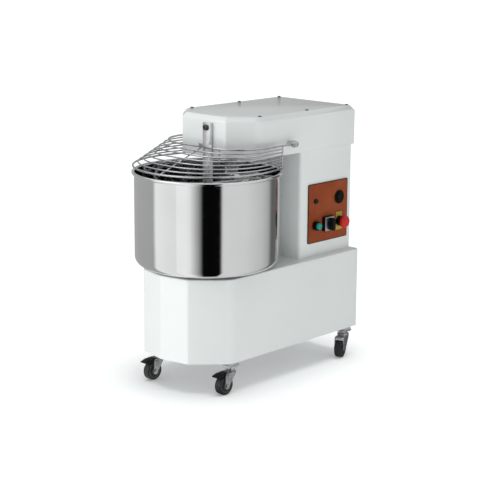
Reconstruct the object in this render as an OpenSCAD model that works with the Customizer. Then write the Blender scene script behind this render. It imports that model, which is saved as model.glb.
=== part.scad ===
// Floor-standing spiral dough mixer: painted base, column and head, turning bowl,
// spiral tool, breaker bar, hinged wire guard, side control panel and castors.
// X is to the right, Y to the back and Z up, with the floor at Z = 0.

/* [Base cabinet] */
// Width across the sides of the base
base_w = 385; // [360:1:420]
// Height of the base cabinet
base_h = 267; // [240:1:300]
// Bowl axis to the folds at the two ends of the base front
base_front = 182; // [172:1:195]
// How far the fold in the middle of the front stands ahead of its ends
base_bow = 20; // [4:1:30]
// How far the base runs on behind the column
base_back = 12; // [8:1:52]
// Size of the slanted front corners of the base
base_chamfer = 94; // [75:1:105]
// Bend radius from a slanted corner to the side
base_bend = 60; // [30:1:66]
// Clear height under the base
base_clear = 100; // [98:1:120]
// Thickness of the painted sheet steel
sheet = 2.5; // [2:0.1:3]
// Radius of the shallow folds in the front sheets
fold_r = 14; // [8:1:20]
// Radius of the rear corners
edge_r = 8; // [5:1:12]
// Thickness of the floor plate of the base
floor_t = 4; // [3:0.5:6]

/* [Column and rear cover] */
// Width of the column
column_w = 328; // [310:1:336]
// Height of the column between base and head
column_h = 350; // [330:1:390]
// Gap between the bowl's wall and the front of the column
column_gap = 25; // [20:1:29]
// Radius of the front corners of the column
column_r = 10; // [6:1:16]
// Height of the rear cover
cover_h = 320; // [300:1:325]
// Width of the rear cover
cover_w = 296; // [270:1:302]
// Overlap of the cover on the column around its window
cover_lap = 14; // [12:1:20]
// Height of one vent slot in the rear cover
vent_h = 6; // [4:1:8]

/* [Head] */
// Width of the head
head_w = 339; // [336:1:352]
// Height of the head with its lid
head_h = 129; // [125:1:150]
// Bowl axis to the front of the head
head_front = 17; // [10:1:22]
// How far the head runs on behind the column
head_back = 9; // [6:1:22]
// Size of the slanted front corners of the head
head_chamfer = 76; // [60:1:90]
// Bend radius from a slanted corner to the side of the head
head_bend = 50; // [25:1:60]
// Height of the lid's rim
lid_h = 16; // [14:1:22]
// Distance of the lid screws from the lid's side
lid_screw_inset = 20; // [16:1:26]
// Distance from the hinge of the guard to the underside of the head
hinge_up = 37; // [34:1:44]
// Bowl axis to the hinge of the guard
hinge_y = 192; // [188:1:202]

/* [Bowl] */
// Outer radius of the bowl
bowl_r = 229; // [216:1:232]
// Height from the bowl's underside to the middle of its rim bead
bowl_h = 294; // [280:1:300]
// Wall of the bowl
bowl_wall = 2.5; // [2:0.1:3]
// Outer radius of the rounded bottom of the bowl
bowl_corner = 29; // [24:1:40]
// Gap between the base and the bowl
bowl_gap = 6.5; // [6:0.5:9]
// Diameter of the rolled rim bead
rim_d = 10; // [9:0.5:14]
// How far the rim bead stands out from the wall
rim_out = 7.8; // [7:0.2:11.4]

/* [Spiral and breaker bar] */
// Bowl axis to the spiral's axis
spiral_y = 110; // [104:1:114]
// Radius of the spiral's centre line
spiral_r = 92; // [84:1:94]
// Diameter of the spiral's bar
spiral_d = 22; // [18:1:24]
// Turns of the spiral
spiral_turns = 1.75; // [1.25:0.25:2]
// Gap between the spiral and the bowl's floor
spiral_gap = 12; // [10:1:18]
// Diameter of the spiral's shaft
spiral_shaft_d = 35; // [30:1:40]
// Sideways offset of the breaker bar
bar_x = 25; // [0:1:30]
// Width of the breaker bar
bar_w = 33; // [30:1:44]
// Thickness of the breaker bar
bar_t = 12; // [8:1:13]
// Gap between the breaker bar and the bowl's floor
bar_gap = 25; // [15:1:40]
// Head top to the top of the breaker bar
bar_drop = 20; // [17:1:26]

/* [Guard] */
// Radius of the guard's lower ring
ring_r = 232; // [226:1:234]
// Height of the lower ring above the middle of the rim bead
ring_up = 21; // [20:1:28]
// Diameter of the ring and of the upper frame wire
frame_d = 6; // [5.5:0.5:7]
// Diameter of the filling wires
wire_d = 4.5; // [4:0.5:5]
// Number of filling wires between the ring and the upper frame
wire_n = 6; // [6:1:7]
// Half width of the upper frame
frame_w = 190; // [188:1:196]
// Bowl axis to the front of the upper frame
frame_front = 55; // [54:1:62]
// Corner radius of the upper frame
frame_r = 120; // [90:1:130]
// How far the ring runs on round the bowl behind its sides, in degrees
ring_on = 12; // [8:1:16]
// Bowl axis to the ends of the ring
ring_end = 110; // [100:1:120]
// Bowl axis to the end posts of the guard
post_y = 138; // [130:1:146]

/* [Control panel] */
// Width and height of the panel plate
panel_size = 195; // [185:1:200]
// Middle of the column to the middle of the panel, towards the rear
panel_back = 8; // [5:1:11]
// Base top to the middle of the panel
panel_up = 142; // [132:1:152]
// Thickness of the panel plate
panel_t = 3; // [2:0.5:4]
// Diameter of the timer knob
timer_d = 45; // [38:1:48]
// Diameter of the push button
button_d = 22; // [20:1:24]
// Side of the selector's square body
selector_w = 48; // [44:1:50]
// Length of the selector's handle
handle_l = 41; // [34:1:42]
// Diameter of the mushroom head
mushroom_d = 41; // [36:1:44]
// Diameter of the pilot lamp
lamp_d = 17; // [14:1:20]

/* [Drive] */
// Gap between the column's front and the lay shaft's bearings
lay_gap = 16.5; // [13:0.5:19]
// Diameter of the lay shaft
lay_d = 25; // [22:1:28]
// Gap between the lay shaft's bearings and the motor
motor_gap = 16.5; // [13:0.5:19]
// Gap between the motor and the column's rear
rear_gap = 16; // [14:0.5:20]
// Diameter of the motor
motor_d = 136; // [126:1:140]
// Length of the motor
motor_l = 240; // [200:1:260]
// Diameter of the bowl's shaft
bowl_shaft_d = 40; // [36:1:44]
// Length of the bowl's bearing housing
housing_l = 80; // [70:1:90]
// Radius of the bowl's sprocket
bowl_sprocket_r = 140; // [125:1:145]
// Radius of the lay shaft's lower sprocket
low_sprocket_r = 22; // [20:1:26]
// Radius of the spiral's sprocket
spiral_sprocket_r = 62; // [56:1:66]
// Radius of the lay shaft's upper sprocket
up_sprocket_r = 32; // [28:1:36]
// Radius of the lay shaft's pulley
lay_pulley_r = 70; // [64:1:74]
// Radius of the motor's pulley
motor_pulley_r = 32; // [28:1:34]

/* [Castors] */
// Diameter of the castor wheels
wheel_d = 60; // [56:1:60]
// Width of the castor wheels
wheel_w = 24; // [20:1:26]
// Wheel axle to swivel axis
trail = 28; // [26:1:30]
// Distance of the rear and right swivel axes from the base's side
castor_inset = 24; // [24:1:32]
// Distance of the rear swivel axes from the base's rear
castor_rear_inset = 42; // [38:1:60]
// Bowl axis to the right front swivel axis, towards the front
castor_right_y = 66; // [55:1:70]
// Sideways place of the left front swivel axis
castor_left_x = 94; // [88:1:110]
// Bowl axis to the left front swivel axis, towards the front
castor_left_y = 124; // [110:1:128]
// Angle at which the right rear castor stands
castor_rear_turn = 21; // [0:1:40]
// Side of the square castor plates
plate_w = 42; // [40:1:44]
// Diameter of the castor axles
axle_d = 8; // [6:1:10]

/* [Fits] */
// Radial clearance of a running fit
run_fit = 0.05; // [0.02:0.01:0.1]
// Gap between pieces that pass each other
pass_gap = 0.3; // [0.3:0.1:0.6]
// Clearance of a bolt in its hole
bolt_gap = 0.3; // [0.2:0.1:0.5]

/* [Hidden] */
$fn = 64;
eps = 1;
touch = 0.004;

// Heights of the stacked housings
base_z = base_clear;
top_z = base_z + base_h;
under_z = top_z + column_h;
lid_z = under_z + head_h;

// Places behind the bowl's axis, from front to back
lay_race_t = 22;
lay_bearing_d = lay_d + 2 * lay_race_t;
column_front = bowl_r + column_gap;
lay_y = column_front + lay_gap + lay_bearing_d / 2;
motor_y = lay_y + lay_bearing_d / 2 + motor_gap + motor_d / 2;
column_rear = motor_y + motor_d / 2 + rear_gap;
base_rear = column_rear + base_back;
head_rear = column_rear + head_back;
panel_y = (column_front + column_rear) / 2 + panel_back;

// Outlines, counter-clockwise from the left end of the front
base_half = base_w / 2;
base_fold = base_half - base_chamfer;
base_pts = [
    [-base_fold, -base_front], [0, -base_front - base_bow], [base_fold, -base_front],
    [base_half, base_chamfer - base_front], [base_half, base_rear],
    [-base_half, base_rear], [-base_half, base_chamfer - base_front]
];
base_radii = [fold_r, fold_r, fold_r, base_bend, edge_r, edge_r, base_bend];
head_half = head_w / 2;
head_fold = head_half - head_chamfer;
head_pts = [
    [-head_fold, -head_front], [head_fold, -head_front],
    [head_half, head_chamfer - head_front], [head_half, head_rear],
    [-head_half, head_rear], [-head_half, head_chamfer - head_front]
];
head_radii = [fold_r, fold_r, head_bend, edge_r, edge_r, head_bend];
column_half = column_w / 2;
column_pts = [
    [-column_half, column_front], [column_half, column_front],
    [column_half, column_rear], [-column_half, column_rear]
];
column_radii = [column_r, column_r, edge_r, edge_r];
way_inset = 12;
cover_t = 2;
cover_screw_d = 4;
vent_x = 55;
vent_l = 80;
vent_up = 20;
vent_rows = 8;
lid_screw_y = [head_chamfer + 2, lerp(head_chamfer, head_rear, 0.5), head_rear - 24];
lid_screw_d = 5;
lid_screw_l = 18;
tab_w = 16;
tab_h = 24;

// Bowl, spiral and bar
bowl_z = top_z + bowl_gap;
rim_z = bowl_z + bowl_h;
rim_reach = bowl_r + rim_out;
bowl_floor = bowl_z + bowl_wall;
flange_t = bowl_gap - 2.5;
flange_d = 140;
tool_low = bowl_floor + spiral_gap + spiral_d / 2;
tool_top = under_z - 62;
boss_d = 46;
boss_h = 26;
bar_z = bowl_floor + bar_gap;
bar_top = lid_z - bar_drop;
bar_y = -head_front - bar_t;
bar_bolt_z = bar_top - 15;
bar_bolt_d = 10;
bar_head_d = 19;

// Drive
key_fit = 0.02;
bearing_h = 18;
bowl_race_t = 20;
bowl_bearing_d = bowl_shaft_d + 2 * bowl_race_t;
housing_wall = 10;
housing_d = bowl_bearing_d + 2 * housing_wall;
housing_flange_out = 25;
housing_top = top_z - sheet;
sprocket_t = 8;
bowl_sprocket_drop = 14;
shaft_end = 6;
bowl_sprocket_z = housing_top - housing_l - bowl_sprocket_drop;
bowl_shaft_z = bowl_sprocket_z - shaft_end;
spiral_race_t = 18.5;
spiral_bearing_d = spiral_shaft_d + 2 * spiral_race_t;
spiral_housing_l = 60;
spiral_housing_wall = 11;
spiral_flange_out = 30;
flange_h = 8;
spiral_housing_z = under_z + sheet;
spiral_sprocket_z = spiral_housing_z + spiral_housing_l + 10;
spiral_shaft_top = spiral_sprocket_z + sprocket_t + shaft_end;
belt_t = 6;
chain_t = 8;
pulley_t = 24;
pulley_z = under_z + 16;
plate_t = 6;
plate_z = under_z - 18;
lay_bearing_h = 20;
lay_z = base_z + floor_t + 3;
lay_top = spiral_sprocket_z + sprocket_t + 10;
motor_flange_t = 10;
motor_shaft_d = 24;
motor_shaft_l = 50;
wire_box_out = 28;
wire_box_w = 80;
wire_box_h = 70;

// Guard
ring_z = rim_z + ring_up;
hinge_z = under_z + hinge_up;
eye_t = 12;
eye_d = 22;
hinge_d = 10;
hinge_head_d = 18;
hinge_head_t = 7;
weld = 0.6;
bead_over = 0.6;
bead_gap = 0.1;
wire_step = 1 / (wire_n + 1);
rib_x = bar_x + 1;
tie_low = -51;
tie_high = -64;

// Control panel
panel_x = column_half;
face_x = panel_x + panel_t;
panel_z = top_z + panel_up;
row_up = 40;
controls_y = panel_y - 4;
control_step = 58;
lamp_at = [controls_y - control_step, panel_z + row_up];
timer_at = [controls_y + control_step, panel_z + row_up];
start_at = [controls_y - control_step, panel_z - row_up];
selector_at = [controls_y, panel_z - row_up];
stop_at = [controls_y + control_step, panel_z - row_up];
lamp_out = 10;
stem_d = 16;
spindle_d = 8;
lamp_stem_d = 10;
block_w = 34;
collar_d = button_d + 8;
collar_t = 15;
button_out = 22;
button_travel = 4;
selector_plate_t = 12;
bezel_t = 2;
bezel_inset = 1;
handle_w = 15;
handle_d = 27;
knob_gap = 0.5;
selector_l = 6;
handle_out = 12;
timer_l = 9;
skirt_t = 3;
skirt_out = 7;
legend_w = 30;
legend_h = 60;
legend_t = 2;
stop_collar_d = 33;
stop_collar_t = 14;
stop_travel = 6;
mushroom_t = 13;
block_l = 46;
gland_bore_d = 12;
gland_d = 22;
gland_out = 20;
gland_inset = 72.5;
gland_x = gland_inset - base_half;
gland_z = base_z + 55;

// Castors: left front, right front, left rear, right rear
swivel = [
    [-castor_left_x, -castor_left_y], [base_half - castor_inset, -castor_right_y],
    [castor_inset - base_half, base_rear - castor_rear_inset],
    [base_half - castor_inset, base_rear - castor_rear_inset]
];
turn = [0, 0, 0, castor_rear_turn];
axle_z = wheel_d / 2;
crown_gap = 6;
crown_t = 4;
crown_z = wheel_d + crown_gap;
race_d = 28;
race_h = 8;
plate_h = 4;
pad_w = plate_w - 4;
race_z = crown_z + crown_t;
under_plate_z = race_z + 2 * race_h;
pad_z = under_plate_z + plate_h;
pin_d = 12;
pin_head_d = 18;
leg_t = 2.5;
leg_gap = 2;
leg_in = wheel_w / 2 + leg_gap;
castor_bolt_at = plate_w / 2 - 7.5;
castor_bolt_d = 5;
pedal_y = trail - 2;
pedal_z = crown_z - 2;
pedal_pin_d = 5;
pedal_t = 9;

// The whole machine is centred front to back over the origin
rear_reach = base_rear + gland_out;
axis_y = -(rear_reach - rim_reach) / 2;

module place() {
    translate([0, axis_y, 0]) children();
}

// Outline helpers
function unit(v) = v / norm(v);
function left_of(v) = [-v.y, v.x];
function lerp(a, b, t) = a + (b - a) * t;
function inset(pts, d) = [
    for (i = [0 : len(pts) - 1])
        let (
            p = pts[i],
            n0 = left_of(unit(p - pts[(i + len(pts) - 1) % len(pts)])),
            n1 = left_of(unit(pts[(i + 1) % len(pts)] - p))
        )
        p + d * (n0 + n1) / (1 + n0 * n1)
];
function shrink(radii, d) = [for (r = radii) max(r - d, 0.5)];

// What a round corner cuts from a sharp one
module corner_waste(before, p, after, r) {
    e0 = unit(before - p);
    e1 = unit(after - p);
    half = acos(e0 * e1) / 2;
    out = unit(e0 + e1);
    reach = r / tan(half);
    centre = p + out * r / sin(half);
    difference() {
        polygon([p - out, p + e0 * reach, centre, p + e1 * reach]);
        translate(centre) circle(r + touch);
    }
}

module rounded(pts, radii) {
    n = len(pts);
    difference() {
        polygon(pts);
        for (i = [0 : n - 1])
            if (radii[i] > 0) corner_waste(pts[(i + n - 1) % n], pts[i], pts[(i + 1) % n], radii[i]);
    }
}

module prism(pts, radii, z, h) {
    translate([0, 0, z]) linear_extrude(h) rounded(pts, radii);
}

module round_plate(w, d, r) {
    rounded([[-w / 2, -d / 2], [w / 2, -d / 2], [w / 2, d / 2], [-w / 2, d / 2]], [r, r, r, r]);
}

// A cylinder whose axis points to +X, from the given place
module along_x(d, l) {
    rotate([0, 90, 0]) cylinder(d = d, h = l);
}

// A cylinder whose axis points to +Y
module along_y(d, l) {
    rotate([-90, 0, 0]) cylinder(d = d, h = l);
}

// A straight wire from a to b
module rod(a, b, d) {
    v = b - a;
    translate(a) rotate([0, acos(v.z / norm(v)), atan2(v.y, v.x)]) cylinder(d = d, h = norm(v));
}

// The open way between base, column and head for the shafts and wires
module column_way(z, h) {
    translate([-column_half + way_inset, column_front + way_inset, z])
        cube([column_w - 2 * way_inset, column_rear - column_front - 2 * way_inset, h]);
}

// Outline of a belt or chain run round two wheels on the machine's middle line
module run_outline(y0, r0, y1, r1) {
    lean = acos((r0 - r1) / (y1 - y0));
    polygon([
        [r0 * sin(lean), y0 + r0 * cos(lean)], [r1 * sin(lean), y1 + r1 * cos(lean)],
        [-r1 * sin(lean), y1 + r1 * cos(lean)], [-r0 * sin(lean), y0 + r0 * cos(lean)]
    ]);
    translate([0, y0]) circle(r0 + touch);
    translate([0, y1]) circle(r1 + touch);
}

module belt(y0, r0, y1, r1, t, z, h) {
    translate([0, 0, z]) linear_extrude(h) difference() {
        run_outline(y0, r0 + pass_gap + t, y1, r1 + pass_gap + t);
        run_outline(y0, r0 + pass_gap, y1, r1 + pass_gap);
    }
}

module ring(d, hole, h) {
    difference() {
        cylinder(d = d, h = h);
        translate([0, 0, -eps]) cylinder(d = hole, h = h + 2 * eps);
    }
}

// Housings
module base_cabinet() {
    color("whitesmoke") place() difference() {
        prism(base_pts, base_radii, base_z, base_h);
        prism(inset(base_pts, sheet), shrink(base_radii, sheet), base_z - eps, base_h - sheet + eps);
        translate([0, 0, top_z - sheet - eps]) cylinder(d = bowl_shaft_d + 14, h = sheet + 2 * eps);
        column_way(top_z - sheet - eps, sheet + 2 * eps);
        translate([gland_x, base_rear - sheet - eps, gland_z])
            along_y(gland_d + 2 * bolt_gap, sheet + 2 * eps);
    }
}

module base_floor() {
    color("gray") place() difference() {
        union() {
            prism(inset(base_pts, sheet), shrink(base_radii, sheet), base_z, floor_t);
            for (c = swivel) translate([c.x, c.y, pad_z])
                linear_extrude(base_z - pad_z) round_plate(pad_w, pad_w, 4);
        }
        for (c = swivel) castor_bolt_places(c) translate([0, 0, pad_z - eps])
            cylinder(d = castor_bolt_d + 2 * bolt_gap, h = base_z + floor_t - pad_z + 2 * eps);
    }
}

module castor_bolt_places(c) {
    for (x = [-1, 1], y = [-1, 1])
        translate([c.x + x * castor_bolt_at, c.y + y * castor_bolt_at, 0]) children();
}

module column_shell() {
    color("whitesmoke") place() difference() {
        prism(column_pts, column_radii, top_z, column_h);
        prism(inset(column_pts, sheet), shrink(column_radii, sheet), top_z - eps, column_h + 2 * eps);
        window_z = top_z + (column_h - cover_h) / 2 + cover_lap;
        translate([-cover_w / 2 + cover_lap, column_rear - sheet - eps, window_z])
            cube([cover_w - 2 * cover_lap, sheet + 2 * eps, cover_h - 2 * cover_lap]);
        cover_screw_places() translate([0, -eps - sheet, 0]) along_y(4 + 2 * bolt_gap, sheet + 2 * eps);
        for (at = [timer_at, start_at, selector_at, stop_at])
            translate([panel_x - sheet - eps, at.x, at.y]) along_x(stem_d + 2, sheet + 2 * eps);
        translate([panel_x - sheet - eps, lamp_at.x, lamp_at.y]) along_x(lamp_stem_d + 2, sheet + 2 * eps);
    }
}

module cover_screw_places() {
    for (x = [-1, 1], z = [0, 1, 2])
        translate([
            x * (cover_w / 2 - cover_lap / 2), column_rear,
            top_z + (column_h - cover_h) / 2 + cover_lap / 2 + z * (cover_h - cover_lap) / 2
        ]) children();
}

module rear_cover() {
    vent_z = top_z + column_h / 2 + vent_up;
    color("whitesmoke") place() difference() {
        translate([0, column_rear, top_z + column_h / 2]) rotate([-90, 0, 0])
            linear_extrude(cover_t) round_plate(cover_w, cover_h, 6);
        for (row = [0 : vent_rows - 1], x = [-1, 1])
            translate([x * vent_x - vent_l / 2, column_rear - eps, vent_z + row * 2 * vent_h])
                cube([vent_l, cover_t + 2 * eps, vent_h]);
        cover_screw_places() translate([0, -eps, 0]) along_y(cover_screw_d + 2 * bolt_gap, cover_t + 2 * eps);
    }
}

module cover_screws() {
    color("silver") place() cover_screw_places() {
        translate([0, -8, 0]) along_y(4, 10 + eps);
        translate([0, 2, 0]) along_y(8, 2.5);
    }
}

module lid_screw_places() {
    for (s = [0, 1], y = lid_screw_y)
        mirror([s, 0, 0]) translate([head_half - lid_screw_inset, y, lid_z]) children();
}

module head_shell() {
    wall_top = lid_z - lid_h;
    color("whitesmoke") place() difference() {
        union() {
            difference() {
                prism(head_pts, head_radii, under_z, head_h - lid_h);
                prism(inset(head_pts, sheet), shrink(head_radii, sheet), under_z + sheet, head_h);
            }
            lid_screw_places() translate([-tab_w / 2, -tab_w / 2, -lid_h - tab_h])
                cube([lid_screw_inset + tab_w / 2 - sheet / 2, tab_w, tab_h]);
            lid_screw_places() translate([-tab_w / 2, -tab_w / 2, -lid_h - tab_h])
                cube([tab_w, tab_w, lid_h + tab_h - sheet]);
        }
        lid_screw_places() translate([0, 0, -lid_screw_l - 2])
            cylinder(d = lid_screw_d + 2 * bolt_gap, h = lid_screw_l + 2);
        column_way(under_z - eps, sheet + 2 * eps);
        translate([0, spiral_y, under_z - eps]) cylinder(d = spiral_shaft_d + 10, h = sheet + 2 * eps);
        translate([bar_x, -head_front - eps, bar_bolt_z]) along_y(bar_bolt_d + 2 * bolt_gap, sheet + 2 * eps);
        for (s = [0, 1]) mirror([s, 0, 0]) translate([head_half - sheet - eps, hinge_y, hinge_z])
            along_x(hinge_d + 2 * bolt_gap, sheet + 2 * eps);
    }
}

module head_lid() {
    color("whitesmoke") place() difference() {
        prism(head_pts, head_radii, lid_z - lid_h, lid_h);
        prism(inset(head_pts, sheet), shrink(head_radii, sheet), lid_z - lid_h - eps, lid_h - sheet + eps);
        lid_screw_places() translate([0, 0, -sheet - eps])
            cylinder(d = lid_screw_d + 2 * bolt_gap, h = sheet + 2 * eps);
    }
}

module lid_screws() {
    color("dimgray") place() lid_screw_places() {
        cylinder(d = lid_screw_d + 6, h = 3);
        translate([0, 0, -lid_screw_l]) cylinder(d = lid_screw_d, h = lid_screw_l + eps);
    }
}

// Breaker bar, bolted flat on the front of the head and reaching down into the bowl
module breaker_bar() {
    color("silver") place() translate([bar_x, -head_front, 0]) rotate([90, 0, 0])
        linear_extrude(bar_t) difference() {
        union() {
            translate([-bar_w / 2, bar_z + bar_w / 2]) square([bar_w, bar_top - bar_z - bar_w / 2]);
            translate([0, bar_z + bar_w / 2]) circle(d = bar_w);
        }
        translate([0, bar_bolt_z]) circle(d = bar_bolt_d + 2 * bolt_gap);
    }
}

module breaker_bolt() {
    color("dimgray") place() translate([bar_x, bar_y, bar_bolt_z]) {
        translate([0, -8, 0]) along_y(bar_head_d, 8);
        translate([0, -eps, 0]) along_y(bar_bolt_d, bar_t + sheet + 8 + eps);
        translate([0, bar_t + sheet, 0]) along_y(17, 8);
    }
}

// Bowl and what turns it
module bowl() {
    color("gainsboro") place() translate([0, 0, bowl_z]) rotate_extrude($fn = 128) {
        difference() {
            rounded([[0, 0], [bowl_r, 0], [bowl_r, bowl_h], [0, bowl_h]], [0, bowl_corner, 0, 0]);
            rounded(
                [
                    [0, bowl_wall], [bowl_r - bowl_wall, bowl_wall],
                    [bowl_r - bowl_wall, bowl_h + eps], [0, bowl_h + eps]
                ],
                [0, bowl_corner - bowl_wall, 0, 0]
            );
        }
        translate([rim_reach - rim_d / 2, bowl_h]) circle(d = rim_d);
    }
}

module bowl_shaft() {
    color("gray") place() {
        translate([0, 0, bowl_z - flange_t]) cylinder(d = flange_d, h = flange_t);
        translate([0, 0, bowl_shaft_z]) cylinder(d = bowl_shaft_d, h = bowl_z - bowl_shaft_z - flange_t / 2);
    }
}

module bowl_sprocket() {
    hole_d = bowl_sprocket_r * 0.36;
    color("dimgray") place() translate([0, 0, bowl_sprocket_z]) difference() {
        ring(2 * bowl_sprocket_r, bowl_shaft_d + 2 * key_fit, sprocket_t);
        for (a = [0 : 60 : 300]) rotate([0, 0, a]) translate([bowl_sprocket_r * 0.6, 0, -eps])
            cylinder(d = hole_d, h = sprocket_t + 2 * eps);
    }
}

module bowl_housing() {
    color("slategray") place() difference() {
        union() {
            translate([0, 0, housing_top - housing_l]) cylinder(d = housing_d, h = housing_l);
            translate([0, 0, housing_top - flange_h])
                cylinder(d = housing_d + 2 * housing_flange_out, h = flange_h);
        }
        translate([0, 0, housing_top - housing_l - eps])
            cylinder(d = bowl_bearing_d, h = housing_l + 2 * eps);
    }
}

module bowl_bearings() {
    color("lightgray") place() for (z = [housing_top - housing_l + 2, housing_top - bearing_h - 4])
        translate([0, 0, z]) ring(bowl_bearing_d, bowl_shaft_d + 2 * run_fit, bearing_h);
}

// Spiral tool: from its boss the bar winds out to the full radius and down to the bowl's floor
tool_steps = 72;
tool_sides = 10;
tool_out = 0.16;
function tool_at(u) =
    let (a = -90 + 360 * spiral_turns * u, r = spiral_r * sin(90 * min(1, u / tool_out)))
    let (down = u < tool_out ? 0.1 * u : (u - 0.9 * tool_out) / (1 - 0.9 * tool_out))
    [r * cos(a), r * sin(a), lerp(tool_top, tool_low, down)];
function tool_ring(k) =
    let (
        c = tool_at(k / tool_steps),
        t = unit(tool_at(min(1, (k + 0.5) / tool_steps)) - tool_at(max(0, (k - 0.5) / tool_steps))),
        n = unit(cross(t, [0, 0, 1])),
        m = cross(n, t)
    )
    [
        for (j = [0 : tool_sides - 1])
            c + spiral_d / 2 * (cos(360 * j / tool_sides) * n + sin(360 * j / tool_sides) * m)
    ];

module swept_bar() {
    s = tool_sides;
    points = [for (k = [0 : tool_steps]) each tool_ring(k)];
    last = tool_steps * s;
    faces = [
        for (k = [0 : tool_steps - 1], j = [0 : s - 1])
            each [
                [k * s + j, (k + 1) * s + (j + 1) % s, (k + 1) * s + j],
                [k * s + j, k * s + (j + 1) % s, (k + 1) * s + (j + 1) % s]
            ],
        for (j = [1 : s - 2]) each [[0, j + 1, j], [last, last + j, last + j + 1]]
    ];
    polyhedron(points, faces);
}

module spiral_tool() {
    color("silver") place() translate([0, spiral_y, 0]) {
        swept_bar();
        translate([0, 0, tool_top - boss_h / 2]) cylinder(d = boss_d, h = boss_h);
    }
}

module spiral_shaft() {
    bottom = tool_top + boss_h / 2;
    color("gray") place() translate([0, spiral_y, bottom])
        cylinder(d = spiral_shaft_d, h = spiral_shaft_top - bottom);
}

module spiral_sprocket() {
    color("dimgray") place() translate([0, spiral_y, spiral_sprocket_z])
        ring(2 * spiral_sprocket_r, spiral_shaft_d + 2 * key_fit, sprocket_t);
}

module spiral_housing() {
    color("slategray") place() translate([0, spiral_y, spiral_housing_z]) difference() {
        union() {
            cylinder(d = spiral_bearing_d + 2 * spiral_housing_wall, h = spiral_housing_l);
            cylinder(d = spiral_bearing_d + 2 * spiral_flange_out, h = flange_h);
        }
        translate([0, 0, -eps]) cylinder(d = spiral_bearing_d, h = spiral_housing_l + 2 * eps);
    }
}

module spiral_bearings() {
    color("lightgray") place() for (z = [2, spiral_housing_l - bearing_h - 2])
        translate([0, spiral_y, spiral_housing_z + z])
            ring(spiral_bearing_d, spiral_shaft_d + 2 * run_fit, bearing_h);
}

// Lay shaft, motor, belt and chains
module lay_shaft() {
    color("gray") place() translate([0, lay_y, lay_z]) cylinder(d = lay_d, h = lay_top - lay_z);
}

module lay_wheels() {
    color("dimgray") place() translate([0, lay_y, 0]) {
        translate([0, 0, bowl_sprocket_z]) ring(2 * low_sprocket_r, lay_d + 2 * key_fit, sprocket_t);
        translate([0, 0, pulley_z]) ring(2 * lay_pulley_r, lay_d + 2 * key_fit, pulley_t);
        translate([0, 0, spiral_sprocket_z]) ring(2 * up_sprocket_r, lay_d + 2 * key_fit, sprocket_t);
    }
}

module lay_bearings() {
    color("slategray") place() for (z = [base_z + floor_t, plate_z + plate_t])
        translate([0, lay_y, z]) ring(lay_bearing_d, lay_d + 2 * run_fit, lay_bearing_h);
}

module drive_plate() {
    color("gray") place() difference() {
        prism(inset(column_pts, sheet), shrink(column_radii, sheet), plate_z, plate_t);
        translate([0, lay_y, plate_z - eps]) cylinder(d = lay_d + 8, h = plate_t + 2 * eps);
        translate([0, motor_y, plate_z - eps]) cylinder(d = motor_shaft_d + 16, h = plate_t + 2 * eps);
    }
}

module motor() {
    body_z = plate_z - motor_flange_t - motor_l;
    color("steelblue") place() translate([0, motor_y, 0]) difference() {
        union() {
            translate([0, 0, body_z]) cylinder(d = motor_d, h = motor_l + eps);
            translate([0, 0, plate_z - motor_flange_t]) cylinder(d = motor_d + 12, h = motor_flange_t);
            translate([-motor_d / 2 - wire_box_out, -wire_box_w / 2, body_z + motor_l * 0.45])
                cube([motor_d / 2, wire_box_w, wire_box_h]);
        }
        translate([0, 0, plate_z - motor_shaft_l])
            cylinder(d = motor_shaft_d + 2 * run_fit, h = motor_shaft_l + eps);
    }
}

module motor_pulley() {
    shaft_z = plate_z - motor_shaft_l + 2;
    color("dimgray") place() translate([0, motor_y, 0]) {
        translate([0, 0, shaft_z]) cylinder(d = motor_shaft_d, h = pulley_z + pulley_t - shaft_z);
        translate([0, 0, pulley_z]) cylinder(r = motor_pulley_r, h = pulley_t);
    }
}

module drive_belt() {
    color("black") place()
        belt(lay_y, lay_pulley_r, motor_y, motor_pulley_r, belt_t, pulley_z + 2, pulley_t - 4);
}

module head_chain() {
    color("dimgray") place()
        belt(
            spiral_y, spiral_sprocket_r, lay_y, up_sprocket_r, chain_t,
            spiral_sprocket_z + 1, sprocket_t - 2
        );
}

module base_chain() {
    color("dimgray") place()
        belt(0, bowl_sprocket_r, lay_y, low_sprocket_r, chain_t, bowl_sprocket_z + 1, sprocket_t - 2);
}

// Guard: level wires that change from the round ring to the frame round the head,
// lapped on the slanted wires below them by the depth of a weld
function guard_w(t) = lerp(ring_r, frame_w, t);
function guard_r(t) = lerp(ring_r, frame_r, t);
function guard_f(t) = -lerp(ring_r, frame_front, t);
function guard_z(t) = lerp(ring_z, hinge_z, t);
function guard_end(t) = lerp(ring_end, post_y, t);
function guard_on(t) = lerp(ring_on, 0, t);
function guard_at(t, a) =
    let (r = guard_r(t))
    [guard_w(t) - r + r * cos(a), guard_f(t) + r + r * sin(a), guard_z(t)];
function guard_front(t, x) =
    let (r = guard_r(t), past = max(0, x - guard_w(t) + r))
    [x, guard_f(t) + r - sqrt(r * r - past * past), guard_z(t)];
function ring_tip() =
    [ring_r * cos(ring_on) - (ring_end - ring_r * sin(ring_on)) * tan(ring_on), ring_end, ring_z];

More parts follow.
